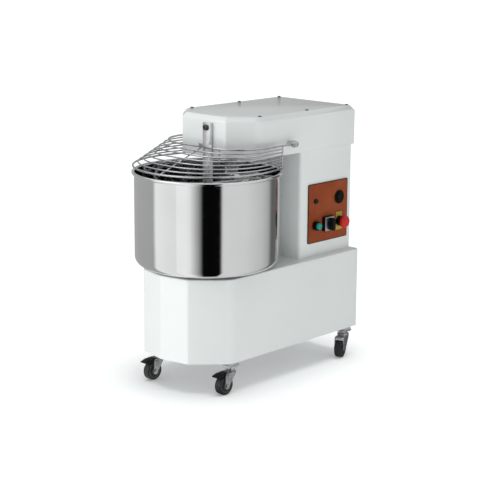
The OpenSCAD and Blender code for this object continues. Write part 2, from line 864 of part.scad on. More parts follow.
module guard_wire(t, d, end) {
    w = guard_w(t);
    r = guard_r(t);
    y = guard_f(t) + r;
    on = guard_on(t);
    slip = bead_gap / r * 180 / PI;
    rest = (end - y - r * sin(on)) / cos(on);
    bead_d = d + bead_over;
    translate([0, 0, guard_z(t)]) {
        if (w - r > bead_d) {
            translate([r - w + bead_gap, y - r, 0]) along_x(d, 2 * (w - r - bead_gap));
            for (s = [-1, 1]) translate([s * (w - r), y - r, 0]) rotate([0, 90, 0]) sphere(d = bead_d);
        } else translate([0, y - r, 0]) rotate([0, 90, 0]) sphere(d = bead_d);
        for (s = [0, 1]) mirror([s, 0, 0]) translate([w - r, y, 0]) {
            rotate([0, 0, slip - 90]) rotate_extrude(angle = 90 + on - 2 * slip)
                translate([r, 0]) circle(d = d);
            rotate([0, 0, on]) translate([r, 0, 0]) {
                rotate([90, 0, 0]) sphere(d = bead_d);
                translate([0, bead_gap, 0]) along_y(d, rest - bead_gap);
            }
        }
    }
}

// A slanted wire under the level ones, between two points on the lowest and the highest of them
module guard_rib(low, high, a) {
    down = unit(cross(high - low, [sin(a), -cos(a), 0]));
    under = down * (down.z < 0 ? 1 : -1) * (wire_d - weld);
    past = unit(high - low) * wire_d;
    rod(low + under - past, high + under + past, wire_d);
}

// The frame round the head with an eye at each end for the hinge bolts
module guard_frame() {
    difference() {
        union() {
            guard_wire(1, frame_d, hinge_y);
            for (s = [0, 1]) mirror([s, 0, 0])
                translate([frame_w - eye_t / 2, hinge_y, hinge_z]) along_x(eye_d, eye_t);
        }
        translate([-frame_w - eye_t, hinge_y, hinge_z]) along_x(hinge_d + 2 * run_fit, 2 * (frame_w + eye_t));
    }
}

module guard() {
    color("silver") place() {
        guard_frame();
        guard_wire(0, frame_d, ring_end);
        for (k = [1 : wire_n]) guard_wire(k * wire_step, wire_d, guard_end(k * wire_step));
        guard_rib(guard_front(wire_step, rib_x), guard_front(1 - wire_step, rib_x), -90);
        for (s = [0, 1]) mirror([s, 0, 0]) {
            guard_rib(
                guard_at(1 - 3 * wire_step, tie_low), guard_at(1 - wire_step, tie_high),
                (tie_low + tie_high) / 2
            );
            rod(
                ring_tip() + [0, wire_d / 2 - weld, 0],
                [frame_w, post_y + wire_d / 2 - weld, hinge_z], wire_d
            );
        }
    }
}

module hinge_bolts() {
    out_x = frame_w + eye_t / 2 + pass_gap;
    color("dimgray") place() for (s = [0, 1]) mirror([s, 0, 0]) translate([0, hinge_y, hinge_z]) {
        translate([head_half - sheet - 8, 0, 0]) along_x(hinge_d, out_x - head_half + sheet + 8 + eps);
        translate([head_half - sheet - 8, 0, 0]) along_x(17, 8);
        translate([head_half, 0, 0]) along_x(hinge_d + 8, frame_w - eye_t / 2 - pass_gap - head_half);
        translate([out_x, 0, 0]) along_x(hinge_head_d, hinge_head_t);
    }
}

// Control panel on the right side of the column
module on_panel(at, x) {
    place() translate([x, at.x, at.y]) children();
}

module control_panel() {
    color("peru") difference() {
        on_panel([panel_y, panel_z], panel_x) rotate([90, 0, 90])
            linear_extrude(panel_t) round_plate(panel_size, panel_size, 5);
        for (at = [timer_at, start_at, selector_at, stop_at])
            on_panel(at, panel_x - eps) along_x(stem_d + 2, panel_t + 2 * eps);
        on_panel(lamp_at, panel_x - eps) along_x(lamp_stem_d + 2, panel_t + 2 * eps);
    }
}

module pilot_lamp() {
    color("darkslategray") {
        on_panel(lamp_at, face_x) along_x(lamp_d, lamp_out);
        on_panel(lamp_at, panel_x - sheet - 12) along_x(lamp_stem_d, panel_t + sheet + 12 + eps);
    }
}

module timer_knob() {
    color("black") {
        on_panel(timer_at, face_x + knob_gap) along_x(timer_d, skirt_t);
        on_panel(timer_at, face_x + knob_gap) along_x(timer_d - 2 * skirt_out, timer_l);
        on_panel(timer_at, panel_x - sheet - 16) along_x(spindle_d, panel_t + sheet + 16 + knob_gap + eps);
    }
}

module panel_ring(at, x, d, hole, t) {
    on_panel(at, x) rotate([0, 90, 0]) ring(d, hole, t);
}

module start_collar() {
    color("black") panel_ring(start_at, face_x, collar_d, button_d + 2 * pass_gap, collar_t);
}

module start_button() {
    rear = button_travel + 1;
    color("seagreen") {
        on_panel(start_at, face_x + rear) along_x(button_d, button_out - rear);
        on_panel(start_at, panel_x - sheet - 16) along_x(spindle_d, panel_t + sheet + 16 + rear + eps);
    }
}

// Plate on the panel with a hole for a stem
module panel_plate(at, x, w, h, t) {
    difference() {
        on_panel(at, x) rotate([90, 0, 90]) linear_extrude(t) round_plate(w, h, 3);
        on_panel(at, x - eps) along_x(stem_d, t + 2 * eps);
    }
}

module selector_plate() {
    color("black") panel_plate(selector_at, face_x, selector_w, selector_w, selector_plate_t);
}

module selector_bezel() {
    bezel_w = selector_w - 2 * bezel_inset;
    color("silver") panel_plate(selector_at, face_x + selector_plate_t, bezel_w, bezel_w, bezel_t);
}

module selector_knob() {
    front = face_x + selector_plate_t + bezel_t + knob_gap;
    color("black") {
        on_panel(selector_at, front) along_x(handle_d, selector_l);
        on_panel(selector_at, front) rotate([90, 0, 90]) linear_extrude(selector_l + handle_out)
            round_plate(handle_w, handle_l, handle_w * 0.45);
        on_panel(selector_at, panel_x - sheet - 16) along_x(spindle_d, front - panel_x + sheet + 16 + eps);
    }
}

module stop_legend() {
    color("gold") panel_plate(stop_at, face_x, legend_w, legend_h, legend_t);
}

module stop_collar() {
    color("black") panel_ring(stop_at, face_x + legend_t, stop_collar_d, stem_d, stop_collar_t);
}

module stop_mushroom() {
    front = face_x + legend_t + stop_collar_t + stop_travel + knob_gap;
    color("red") {
        on_panel(stop_at, front) along_x(mushroom_d, mushroom_t);
        on_panel(stop_at, panel_x - sheet - 16) along_x(spindle_d, front - panel_x + sheet + 16 + eps);
    }
}

// Switch bodies clamped behind the panel, each with the bore its spindle runs in
module switch_blocks() {
    color("dimgray") {
        for (at = [timer_at, start_at, selector_at, stop_at]) difference() {
            on_panel(at, panel_x - sheet - block_l)
                translate([0, -block_w / 2, -block_w / 2]) cube([block_l, block_w, block_w]);
            on_panel(at, panel_x - sheet - 30) along_x(spindle_d + 2 * run_fit, 30 + eps);
        }
        difference() {
            on_panel(lamp_at, panel_x - sheet - 30) along_x(block_w, 30);
            on_panel(lamp_at, panel_x - sheet - 14) along_x(lamp_stem_d + 2 * key_fit, 14 + eps);
        }
    }
}

module cable_gland() {
    nut_d = gland_d + 8;
    color("black") place() translate([gland_x, base_rear, gland_z]) difference() {
        union() {
            along_y(nut_d, gland_out);
            translate([0, -sheet - 12, 0]) along_y(gland_d, sheet + 12 + eps);
            translate([0, -sheet - 8, 0]) along_y(nut_d, 8);
        }
        translate([0, -sheet - 12 - eps, 0]) along_y(gland_bore_d, sheet + 12 + gland_out + 2 * eps);
    }
}

// Castors
module at_castor(i) {
    place() translate([swivel[i].x, swivel[i].y, 0]) rotate([0, 0, turn[i]]) children();
}

module castor_plates() {
    color("silver") place() for (c = swivel) difference() {
        translate([c.x, c.y, 0]) {
            translate([0, 0, under_plate_z]) linear_extrude(plate_h) round_plate(plate_w, plate_w, 4);
            translate([0, 0, race_z + race_h + pass_gap]) cylinder(d = race_d, h = race_h - pass_gap + eps);
            translate([0, 0, crown_z - pass_gap - 3])
                cylinder(d = pin_d, h = under_plate_z - crown_z + pass_gap + 3 + eps);
            translate([0, 0, crown_z - pass_gap - 3]) cylinder(d = pin_head_d, h = 3);
        }
        castor_bolt_places(c) translate([0, 0, under_plate_z - eps])
            cylinder(d = castor_bolt_d + 2 * bolt_gap, h = plate_h + 2 * eps);
    }
}

module castor_bolts() {
    nut_z = base_z + floor_t;
    color("gray") place() for (c = swivel) castor_bolt_places(c) {
        translate([0, 0, under_plate_z - 4]) cylinder(d = castor_bolt_d + 4, h = 4);
        translate([0, 0, under_plate_z - eps])
            cylinder(d = castor_bolt_d, h = nut_z + 6 - under_plate_z + eps);
        translate([0, 0, nut_z]) cylinder(d = castor_bolt_d + 4, h = 5);
    }
}

module leg_outline() {
    polygon([
        [12, race_z], [-pedal_y - 7, race_z],
        [-trail - axle_d / 2 - 6, axle_z], [axle_d / 2 + 6 - trail, axle_z]
    ]);
    translate([-trail, axle_z]) circle(d = axle_d + 12);
}

module fork(i) {
    leg_out = leg_in + leg_t;
    color("silver") at_castor(i) difference() {
        union() {
            translate([-leg_out, -20, crown_z]) cube([2 * leg_out, 20, crown_t]);
            translate([0, 0, crown_z]) cylinder(r = leg_out, h = crown_t);
            translate([0, 0, crown_z]) cylinder(d = race_d, h = crown_t + race_h);
            for (x = [-leg_out, leg_in]) translate([x, 0, 0]) rotate([90, 0, 90])
                linear_extrude(leg_t) leg_outline();
        }
        translate([0, 0, crown_z - eps]) cylinder(d = pin_d + 2 * run_fit, h = crown_t + race_h + 2 * eps);
        translate([-leg_out - eps, -trail, axle_z]) along_x(axle_d + 2 * key_fit, 2 * leg_out + 2 * eps);
        if (i < 2) translate([-leg_out - eps, -pedal_y, pedal_z])
            along_x(pedal_pin_d + 2 * run_fit, 2 * leg_out + 2 * eps);
    }
}

module axle(i) {
    leg_out = leg_in + leg_t;
    color("gray") at_castor(i) translate([0, -trail, axle_z]) {
        translate([-leg_out - 2, 0, 0]) along_x(axle_d, 2 * leg_out + 4);
        translate([-leg_out - 3, 0, 0]) along_x(axle_d + 5, 3);
        translate([leg_out, 0, 0]) along_x(axle_d + 5, 3);
    }
}

module wheel(i) {
    hub_l = wheel_w + 2 * (leg_gap - pass_gap);
    bore_r = axle_d / 2 + run_fit;
    color("dimgray") at_castor(i) translate([0, -trail, axle_z]) rotate([0, 90, 0]) rotate_extrude() {
        translate([wheel_d / 4 + bore_r / 2, 0]) round_plate(wheel_d / 2 - bore_r, wheel_w, 3);
        translate([bore_r, -hub_l / 2]) square([5, hub_l]);
    }
}

// Brake pedal: a plastic lever over the wheel, pivoted between the fork's legs
module pedal(i) {
    half_w = leg_in - 2 * pass_gap;
    color("black") at_castor(i) translate([0, -pedal_y, pedal_z]) {
        translate([-half_w, 0, 0]) rotate([90, 0, 90]) linear_extrude(2 * half_w)
            polygon([[4, -2.2], [4, 2], [1, 6.5], [-22, 7], [-42, 0.5], [-42, -2.2]]);
        translate([-leg_in - leg_t, 0, 0]) along_x(pedal_pin_d, 2 * leg_in + 2 * leg_t);
    }
}

base_cabinet();
base_floor();
column_shell();
rear_cover();
cover_screws();
head_shell();
head_lid();
lid_screws();
breaker_bar();
breaker_bolt();
bowl();
bowl_shaft();
bowl_sprocket();
bowl_housing();
bowl_bearings();
spiral_tool();
spiral_shaft();
spiral_sprocket();
spiral_housing();
spiral_bearings();
lay_shaft();
lay_wheels();
lay_bearings();
drive_plate();
motor();
motor_pulley();
drive_belt();
head_chain();
base_chain();
guard();
hinge_bolts();
control_panel();
pilot_lamp();
timer_knob();
start_collar();
start_button();
selector_plate();
selector_bezel();
selector_knob();
stop_legend();
stop_collar();
stop_mushroom();
switch_blocks();
cable_gland();
castor_plates();
castor_bolts();
fork(0);  // fork_front_left
fork(1);  // fork_front_right
fork(2);  // fork_rear_left
fork(3);  // fork_rear_right
axle(0);  // axle_front_left
axle(1);  // axle_front_right
axle(2);  // axle_rear_left
axle(3);  // axle_rear_right
wheel(0);  // wheel_front_left
wheel(1);  // wheel_front_right
wheel(2);  // wheel_rear_left
wheel(3);  // wheel_rear_right
pedal(0);  // pedal_left
pedal(1);  // pedal_right
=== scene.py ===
import math

import bpy
from mathutils import Matrix, Vector


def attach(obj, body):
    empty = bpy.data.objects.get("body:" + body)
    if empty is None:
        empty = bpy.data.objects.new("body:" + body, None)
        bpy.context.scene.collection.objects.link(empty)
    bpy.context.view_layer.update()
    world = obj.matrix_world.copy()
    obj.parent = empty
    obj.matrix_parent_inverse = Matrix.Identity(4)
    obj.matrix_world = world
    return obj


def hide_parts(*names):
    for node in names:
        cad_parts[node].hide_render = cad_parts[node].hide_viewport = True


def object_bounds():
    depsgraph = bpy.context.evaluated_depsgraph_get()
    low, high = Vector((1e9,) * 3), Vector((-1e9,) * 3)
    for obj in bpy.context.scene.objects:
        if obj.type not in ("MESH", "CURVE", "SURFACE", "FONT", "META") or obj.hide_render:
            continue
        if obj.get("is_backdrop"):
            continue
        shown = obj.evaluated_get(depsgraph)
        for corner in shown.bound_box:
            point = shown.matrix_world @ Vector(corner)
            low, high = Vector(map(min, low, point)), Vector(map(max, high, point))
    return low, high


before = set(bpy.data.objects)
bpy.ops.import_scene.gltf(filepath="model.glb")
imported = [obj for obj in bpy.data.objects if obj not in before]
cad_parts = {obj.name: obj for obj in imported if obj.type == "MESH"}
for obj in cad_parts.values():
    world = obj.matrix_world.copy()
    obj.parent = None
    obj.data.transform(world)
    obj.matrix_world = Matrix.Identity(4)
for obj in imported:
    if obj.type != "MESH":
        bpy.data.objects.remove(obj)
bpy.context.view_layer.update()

# Base cabinet: one folded sheet of white enamelled steel with slanted front corners and a
# shallow fold down the middle of its front. The bowl and the column stand on its flat top.
AXIS_Y = -0.1516
SHEET = 0.0025
BASE_HALF, BASE_FRONT, BASE_REAR = 0.1925, AXIS_Y - 0.182, AXIS_Y + 0.520
BASE_LOW, BASE_TOP = 0.100, 0.367
BASE_CHAMFER, BASE_BOW, BASE_BEND, FOLD_R = 0.094, 0.020, 0.060, 0.014
REAR_R, BASE_EDGE_R, BOWL_SHAFT_HOLE = 0.008, 0.004, 0.027
FRONT_FOLD, MIDDLE_FOLD = 0.3 * FOLD_R, 0.2 * FOLD_R
WAY_HALF, WAY_FRONT, WAY_REAR, WAY_DEEP = 0.15, AXIS_Y + 0.266, AXIS_Y + 0.496, 0.015
EIGHTH = math.tan(math.radians(22.5))
NEAR, HAIR = 0.001, 0.0005
SELECT_MODES = {"VERT": (True, False, False), "EDGE": (False, True, False), "FACE": (False, False, True)}


def deselect():
    bpy.ops.object.select_all(action="DESELECT")


def take(piece):
    """Makes the piece the only selected one."""
    if bpy.context.object and bpy.context.object.mode == "EDIT":
        bpy.ops.object.mode_set(mode="OBJECT")
    deselect()
    piece.select_set(True)
    bpy.context.view_layer.objects.active = piece


def block(name, low, high):
    """A box between two corners, with its place in its mesh."""
    deselect()
    bpy.ops.mesh.primitive_cube_add(size=1, location=[(a + b) / 2 for a, b in zip(low, high)])
    piece = bpy.context.object
    piece.name = piece.data.name = name
    piece.scale = [b - a for a, b in zip(low, high)]
    bpy.ops.object.transform_apply(location=True, rotation=True, scale=True)
    return piece


def choose(piece, kind, test):
    """Opens the piece in edit mode with what passes a test of place and direction selected."""
    take(piece)
    mesh = piece.data
    for group in (mesh.vertices, mesh.edges, mesh.polygons):
        group.foreach_set("select", [False] * len(group))
    if kind == "FACE":
        for face in mesh.polygons:
            face.select = bool(test(face.center, face.normal))
    elif kind == "EDGE":
        for edge in mesh.edges:
            a, b = (mesh.vertices[i].co for i in edge.vertices)
            edge.select = bool(test((a + b) / 2, (b - a).normalized()))
    else:
        for vertex in mesh.vertices:
            vertex.select = bool(test(vertex.co, vertex.normal))
    bpy.context.tool_settings.mesh_select_mode = SELECT_MODES[kind]
    bpy.ops.object.mode_set(mode="EDIT")


def round_edges(piece, test, offset, segments):
    choose(piece, "EDGE", test)
    bpy.ops.mesh.bevel(
        offset_type="OFFSET", offset=offset, segments=segments, affect="EDGES", clamp_overlap=False
    )
    bpy.ops.object.mode_set(mode="OBJECT")


def upright_at(x, y):
    """A test for the upright edges at a place and at its mirror place."""
    return lambda c, d: abs(d.z) > 0.9 and abs(abs(c.x) - x) < NEAR and abs(c.y - y) < NEAR


def open_end(piece, test):
    choose(piece, "FACE", test)
    bpy.ops.mesh.delete(type="FACE")
    bpy.ops.object.mode_set(mode="OBJECT")


def use(piece, kind, **settings):
    """Adds a modifier with its settings and applies it."""
    take(piece)
    modifier = piece.modifiers.new(kind.title(), kind)
    for name, value in settings.items():
        setattr(modifier, name, value)
    bpy.ops.object.modifier_apply(modifier=modifier.name)


def cut(piece, cutter):
    """Cuts the piece with another, which is then removed."""
    use(piece, "BOOLEAN", operation="DIFFERENCE", solver="EXACT", object=cutter)
    bpy.data.objects.remove(cutter)


def cut_way(piece, z):
    """Cuts the opening through which the base, the column and the head are joined inside."""
    cut(piece, block("way", (-WAY_HALF, WAY_FRONT, z - WAY_DEEP), (WAY_HALF, WAY_REAR, z + WAY_DEEP)))


def bore(piece, radius, at):
    """Cuts an upright round hole."""
    deselect()
    bpy.ops.mesh.primitive_cylinder_add(vertices=48, radius=radius, depth=0.04, location=at)
    cut(piece, bpy.context.object)


def fit(piece, material, body, slot, *nodes, smooth=35):
    """Smooths a piece, gives it its finish, and fixes it to the body that carries it."""
    take(piece)
    bpy.ops.object.shade_smooth_by_angle(angle=math.radians(smooth))
    if material:
        piece.data.materials.clear()
        piece.data.materials.append(material)
    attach(piece, body)
    if nodes:
        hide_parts(*nodes)
    return piece


def new_finish(name, color, **values):
    """A material with the values that are the same all over set on its shader."""
    material = bpy.data.materials.new(name)
    material.use_nodes = True
    shader = material.node_tree.nodes["Principled BSDF"]
    shader.inputs["Base Color"].default_value = (*color, 1)
    for socket, value in values.items():
        shader.inputs[socket.replace("_", " ")].default_value = value
    return material


def add_noise(material, scale, stretch=(1, 1, 1)):
    """A noise on the piece's own coordinates, stretched along its axes."""
    tree = material.node_tree
    place = tree.nodes.new("ShaderNodeTexCoord")
    mapping = tree.nodes.new("ShaderNodeMapping")
    mapping.inputs["Scale"].default_value = stretch
    texture = tree.nodes.new("ShaderNodeTexNoise")
    texture.inputs["Scale"].default_value = scale
    texture.inputs["Detail"].default_value = 3.0
    tree.links.new(place.outputs["Object"], mapping.inputs["Vector"])
    tree.links.new(mapping.outputs["Vector"], texture.inputs["Vector"])
    return texture.outputs["Fac"]


def tint(material, noise, dark, light):
    """Lets the colour drift between two tones over the middle of the noise."""
    tree = material.node_tree
    ramp = tree.nodes.new("ShaderNodeValToRGB")
    ramp.color_ramp.elements[0].position = 0.35
    ramp.color_ramp.elements[0].color = (*dark, 1)
    ramp.color_ramp.elements[1].position = 0.65
    ramp.color_ramp.elements[1].color = (*light, 1)
    tree.links.new(noise, ramp.inputs["Fac"])
    tree.links.new(ramp.outputs["Color"], tree.nodes["Principled BSDF"].inputs["Base Color"])


def vary_gloss(material, noise, low, high):
    """Lets the roughness drift between two values."""
    tree = material.node_tree
    spread = tree.nodes.new("ShaderNodeMapRange")
    spread.inputs["From Min"].default_value = 0.3
    spread.inputs["From Max"].default_value = 0.7
    spread.inputs["To Min"].default_value = low
    spread.inputs["To Max"].default_value = high
    tree.links.new(noise, spread.inputs["Value"])
    tree.links.new(spread.outputs["Result"], tree.nodes["Principled BSDF"].inputs["Roughness"])


def roughen(material, noise, strength, depth):
    """Raises the noise as a fine relief."""
    tree = material.node_tree
    bump = tree.nodes.new("ShaderNodeBump")
    bump.inputs["Strength"].default_value = strength
    bump.inputs["Distance"].default_value = depth
    tree.links.new(noise, bump.inputs["Height"])
    tree.links.new(bump.outputs["Normal"], tree.nodes["Principled BSDF"].inputs["Normal"])


white_enamel = new_finish(
    "white_enamel", (0.84, 0.86, 0.855), Coat_Weight=0.8, Coat_Roughness=0.12, Coat_IOR=1.6
)
tint(white_enamel, add_noise(white_enamel, 4.0), (0.83, 0.85, 0.845), (0.855, 0.872, 0.868))
vary_gloss(white_enamel, add_noise(white_enamel, 9.0), 0.275, 0.285)

base = block("base_skin", (-BASE_HALF, BASE_FRONT, BASE_LOW), (BASE_HALF, BASE_REAR, BASE_TOP))
round_edges(base, upright_at(BASE_HALF, BASE_FRONT), BASE_CHAMFER, 1)
choose(base, "FACE", lambda c, n: True)
bpy.ops.mesh.bisect(plane_co=(0, 0, 0), plane_no=(1, 0, 0))
choose(base, "VERT", lambda c, n: abs(c.x) < NEAR and c.y < BASE_FRONT + NEAR)
bpy.ops.transform.translate(value=(0, -BASE_BOW, 0))
choose(base, "EDGE", lambda c, d: abs(c.x) < NEAR and (abs(d.y) > 0.9 or c.y > 0))
bpy.ops.mesh.dissolve_edges(use_verts=True)
round_edges(base, upright_at(BASE_HALF, BASE_FRONT + BASE_CHAMFER), BASE_BEND * EIGHTH, 8)
round_edges(base, upright_at(BASE_HALF - BASE_CHAMFER, BASE_FRONT), FRONT_FOLD, 4)
round_edges(base, upright_at(0, BASE_FRONT - BASE_BOW), MIDDLE_FOLD, 3)
round_edges(base, upright_at(BASE_HALF, BASE_REAR), REAR_R, 5)
round_edges(base, lambda c, d: c.z > BASE_TOP - HAIR, BASE_EDGE_R, 4)
open_end(base, lambda c, n: n.z < -0.9)
use(base, "SOLIDIFY", thickness=SHEET, offset=-1, use_even_offset=True)
cut_way(base, BASE_TOP)
bore(base, BOWL_SHAFT_HOLE, (0, AXIS_Y, BASE_TOP))
fit(base, white_enamel, "frame", "white_paint", "base_cabinet")


# Floor plate of the base and the drive plate in the column: flat grey primed steel. The floor
# plate closes the base from below and has a pad under it for each castor plate.
grey_primer = new_finish("grey_primer", (0.42, 0.43, 0.44))
tint(grey_primer, add_noise(grey_primer, 30.0), (0.36, 0.37, 0.38), (0.47, 0.48, 0.49))
vary_gloss(grey_primer, add_noise(grey_primer, 60.0), 0.5, 0.7)
roughen(grey_primer, add_noise(grey_primer, 300.0), 0.1, 0.0005)


def finish_nodes(material, *names):
    """Gives CAD nodes that keep their own shape a finish."""
    for name in names:
        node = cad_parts[name]
        node.data.materials.clear()
        node.data.materials.append(material)


finish_nodes(grey_primer, "base_floor", "drive_plate")


# Column: a folded enamelled sheet between base and head, open at both ends and closed at
# the rear by a screwed cover with vent slots.
COLUMN_HALF, COLUMN_FRONT, COLUMN_REAR, HEAD_LOW = 0.164, AXIS_Y + 0.254, AXIS_Y + 0.508, 0.717
COLUMN_BEND_R, WINDOW_HALF, WINDOW_LOW, WINDOW_TOP, WINDOW_DEEP = 0.010, 0.134, 0.396, 0.688, 0.01
column = block("column_skin", (-COLUMN_HALF, COLUMN_FRONT, BASE_TOP), (COLUMN_HALF, COLUMN_REAR, HEAD_LOW))
round_edges(column, upright_at(COLUMN_HALF, COLUMN_FRONT), COLUMN_BEND_R, 6)
round_edges(column, upright_at(COLUMN_HALF, COLUMN_REAR), REAR_R, 5)
open_end(column, lambda c, n: abs(n.z) > 0.9)
use(column, "SOLIDIFY", thickness=SHEET, offset=-1, use_even_offset=True)
window_low = (-WINDOW_HALF, COLUMN_REAR - WINDOW_DEEP, WINDOW_LOW)
cut(column, block("window", window_low, (WINDOW_HALF, COLUMN_REAR + WINDOW_DEEP, WINDOW_TOP)))
fit(column, white_enamel, "frame", "white_paint", "column_shell")
finish_nodes(white_enamel, "rear_cover")


# Head: an enamelled box with slanted front corners over the bowl, with a lid that is folded
# in along its top edge and held by six dark screws.
HEAD_HALF, HEAD_FRONT, HEAD_REAR = 0.1695, AXIS_Y - 0.017, AXIS_Y + 0.517
HEAD_CHAMFER, HEAD_BEND, HEAD_EDGE_R = 0.076, 0.050, 0.003
LID_LOW, LID_TOP, LID_SLANT, LID_REAR_R, LID_EDGE_R, LID_FOLD_R = 0.830, 0.846, 0.013, 0.018, 0.003, 0.002
SPIRAL_Y, SPIRAL_SHAFT_HOLE = AXIS_Y + 0.110, 0.0225


def head_box(name, low, high, rear_r):
    """A box with the head's outline."""
    box = block(name, (-HEAD_HALF, HEAD_FRONT, low), (HEAD_HALF, HEAD_REAR, high))
    round_edges(box, upright_at(HEAD_HALF, HEAD_FRONT), HEAD_CHAMFER, 1)
    round_edges(box, upright_at(HEAD_HALF, HEAD_FRONT + HEAD_CHAMFER), HEAD_BEND * EIGHTH, 8)
    round_edges(box, upright_at(HEAD_HALF - HEAD_CHAMFER, HEAD_FRONT), FOLD_R * EIGHTH, 5)
    round_edges(box, upright_at(HEAD_HALF, HEAD_REAR), rear_r, 5)
    return box


head = head_box("head_skin", HEAD_LOW, LID_LOW, REAR_R)
round_edges(head, lambda c, d: c.z < HEAD_LOW + HAIR, HEAD_EDGE_R, 3)
open_end(head, lambda c, n: n.z > 0.9)
use(head, "SOLIDIFY", thickness=SHEET, offset=-1, use_even_offset=True)
cut_way(head, HEAD_LOW)
bore(head, SPIRAL_SHAFT_HOLE, (0, SPIRAL_Y, HEAD_LOW))
fit(head, white_enamel, "frame", "white_paint", "head_shell")

lid = head_box("head_lid_skin", LID_LOW, LID_TOP, LID_REAR_R)
round_edges(lid, lambda c, d: c.z > LID_TOP - HAIR, LID_SLANT, 1)
round_edges(lid, lambda c, d: c.z > LID_TOP - HAIR, LID_EDGE_R, 3)
round_edges(lid, lambda c, d: abs(c.z - LID_TOP + LID_SLANT) < HAIR and abs(d.z) < 0.1, LID_FOLD_R, 3)
open_end(lid, lambda c, n: n.z < -0.9)
use(lid, "SOLIDIFY", thickness=SHEET, offset=-1, use_even_offset=True)
fit(lid, white_enamel, "frame", "white_paint", "head_lid")


# Screws and bolts: pan heads with a cross recess on the lid and a socket head on the breaker
# bar, in blackened steel. The cover's screws and the castors' bolts and plates are zinc plated.
def turned(name, steps, sides=48):
    """Turns (radius, height) steps about Z: a ring is extruded and scaled from step to step."""
    deselect()
    radius, height = steps[0]
    bpy.ops.mesh.primitive_circle_add(
        vertices=sides, radius=radius, location=(0, 0, height), fill_type="NOTHING"
    )
    piece = bpy.context.object
    piece.name = piece.data.name = name
    bpy.ops.object.transform_apply(location=True, rotation=True, scale=True)
    bpy.ops.object.mode_set(mode="EDIT")
    bpy.context.tool_settings.mesh_select_mode = SELECT_MODES["EDGE"]
    bpy.ops.mesh.select_all(action="SELECT")
    for r, z in steps[1:]:
        bpy.ops.mesh.extrude_edges_move(TRANSFORM_OT_translate={"value": (0, 0, z - height)})
        bpy.ops.transform.resize(value=(r / radius, r / radius, 1), center_override=(0, 0, z))
        radius, height = r, z
    bpy.ops.mesh.select_all(action="SELECT")
    bpy.ops.mesh.fill_holes(sides=sides)
    bpy.ops.mesh.normals_make_consistent(inside=False)
    bpy.ops.object.mode_set(mode="OBJECT")
    return piece


def stand(piece, at, turn=(0, 0, 0)):
    """Turns a piece made at the origin and puts it in its place."""
    take(piece)
    piece.rotation_euler = [math.radians(a) for a in turn]
    piece.location = at
    bpy.ops.object.transform_apply(location=True, rotation=True, scale=True)
    return piece


def copy_of(piece, name):
    twin = piece.copy()
    twin.data = piece.data.copy()
    twin.name = twin.data.name = name
    bpy.context.scene.collection.objects.link(twin)
    return twin


def join(pieces, name):
    take(pieces[0])
    for piece in pieces[1:]:
        piece.select_set(True)
    bpy.ops.object.join()
    whole = bpy.context.object
    whole.name = whole.data.name = name
    return whole


FACE_X, FACE_Y = (0, 90, 0), (90, 0, 0)
dark_steel = new_finish("dark_steel", (0.1, 0.1, 0.105), Metallic=1.0)
tint(dark_steel, add_noise(dark_steel, 160.0), (0.07, 0.07, 0.075), (0.14, 0.14, 0.15))
vary_gloss(dark_steel, add_noise(dark_steel, 240.0), 0.3, 0.5)
roughen(dark_steel, add_noise(dark_steel, 900.0), 0.1, 0.0002)

LID_SCREW_X, LID_SCREW_YS = 0.1495, (0.078, 0.2965, 0.493)
CROSS_LONG, CROSS_WIDE, CROSS_LOW, CROSS_HIGH = 0.0055, 0.0012, 0.0016, 0.004
screw_steps = [(0.0055, 0.0), (0.0055, 0.0012), (0.005, 0.0022), (0.0036, 0.0028), (0.001, 0.003)]
screw = turned("lid_screw", screw_steps, 32)
for wide, deep in ((CROSS_LONG, CROSS_WIDE), (CROSS_WIDE, CROSS_LONG)):
    cut(screw, block("cross", (-wide / 2, -deep / 2, CROSS_LOW), (wide / 2, deep / 2, CROSS_HIGH)))
screws = [
    stand(copy_of(screw, "lid_screw"), (side * LID_SCREW_X, AXIS_Y + y, LID_TOP))
    for side in (-1, 1) for y in LID_SCREW_YS
]
bpy.data.objects.remove(screw)
fit(join(screws, "lid_screw_heads"), dark_steel, "frame", "dark_screws", "lid_screws")


def socket_bolt(name, radius, height, socket):
    """A round bolt head with a softened rim and a six-sided socket."""
    rim = height * 0.15
    rim_steps = [(radius, height - rim), (radius - rim, height)]
    bolt_head = turned(name, [(radius, 0)] + rim_steps + [(radius / 2, height)], 40)
    deselect()
    bpy.ops.mesh.primitive_cylinder_add(vertices=6, radius=socket, depth=height, location=(0, 0, height))
    cut(bolt_head, bpy.context.object)
    return bolt_head


BAR_X, BAR_HALF, BAR_T = 0.025, 0.0165, 0.012
BAR_LOW, BAR_TOP, BAR_BOLT_Z = 0.401, 0.826, 0.811
BAR_FRONT = HEAD_FRONT - BAR_T
bolt = socket_bolt("breaker_bolt_head", radius=0.0095, height=0.008, socket=0.0045)
stand(bolt, (BAR_X, BAR_FRONT, BAR_BOLT_Z), FACE_Y)
fit(bolt, dark_steel, "frame", "dark_screws", "breaker_bolt")

zinc = new_finish("zinc", (0.55, 0.56, 0.58), Metallic=1.0)
tint(zinc, add_noise(zinc, 90.0), (0.46, 0.47, 0.49), (0.62, 0.63, 0.65))
vary_gloss(zinc, add_noise(zinc, 140.0), 0.28, 0.42)
roughen(zinc, add_noise(zinc, 700.0), 0.08, 0.0003)
finish_nodes(zinc, "cover_screws", "castor_plates", "castor_bolts")


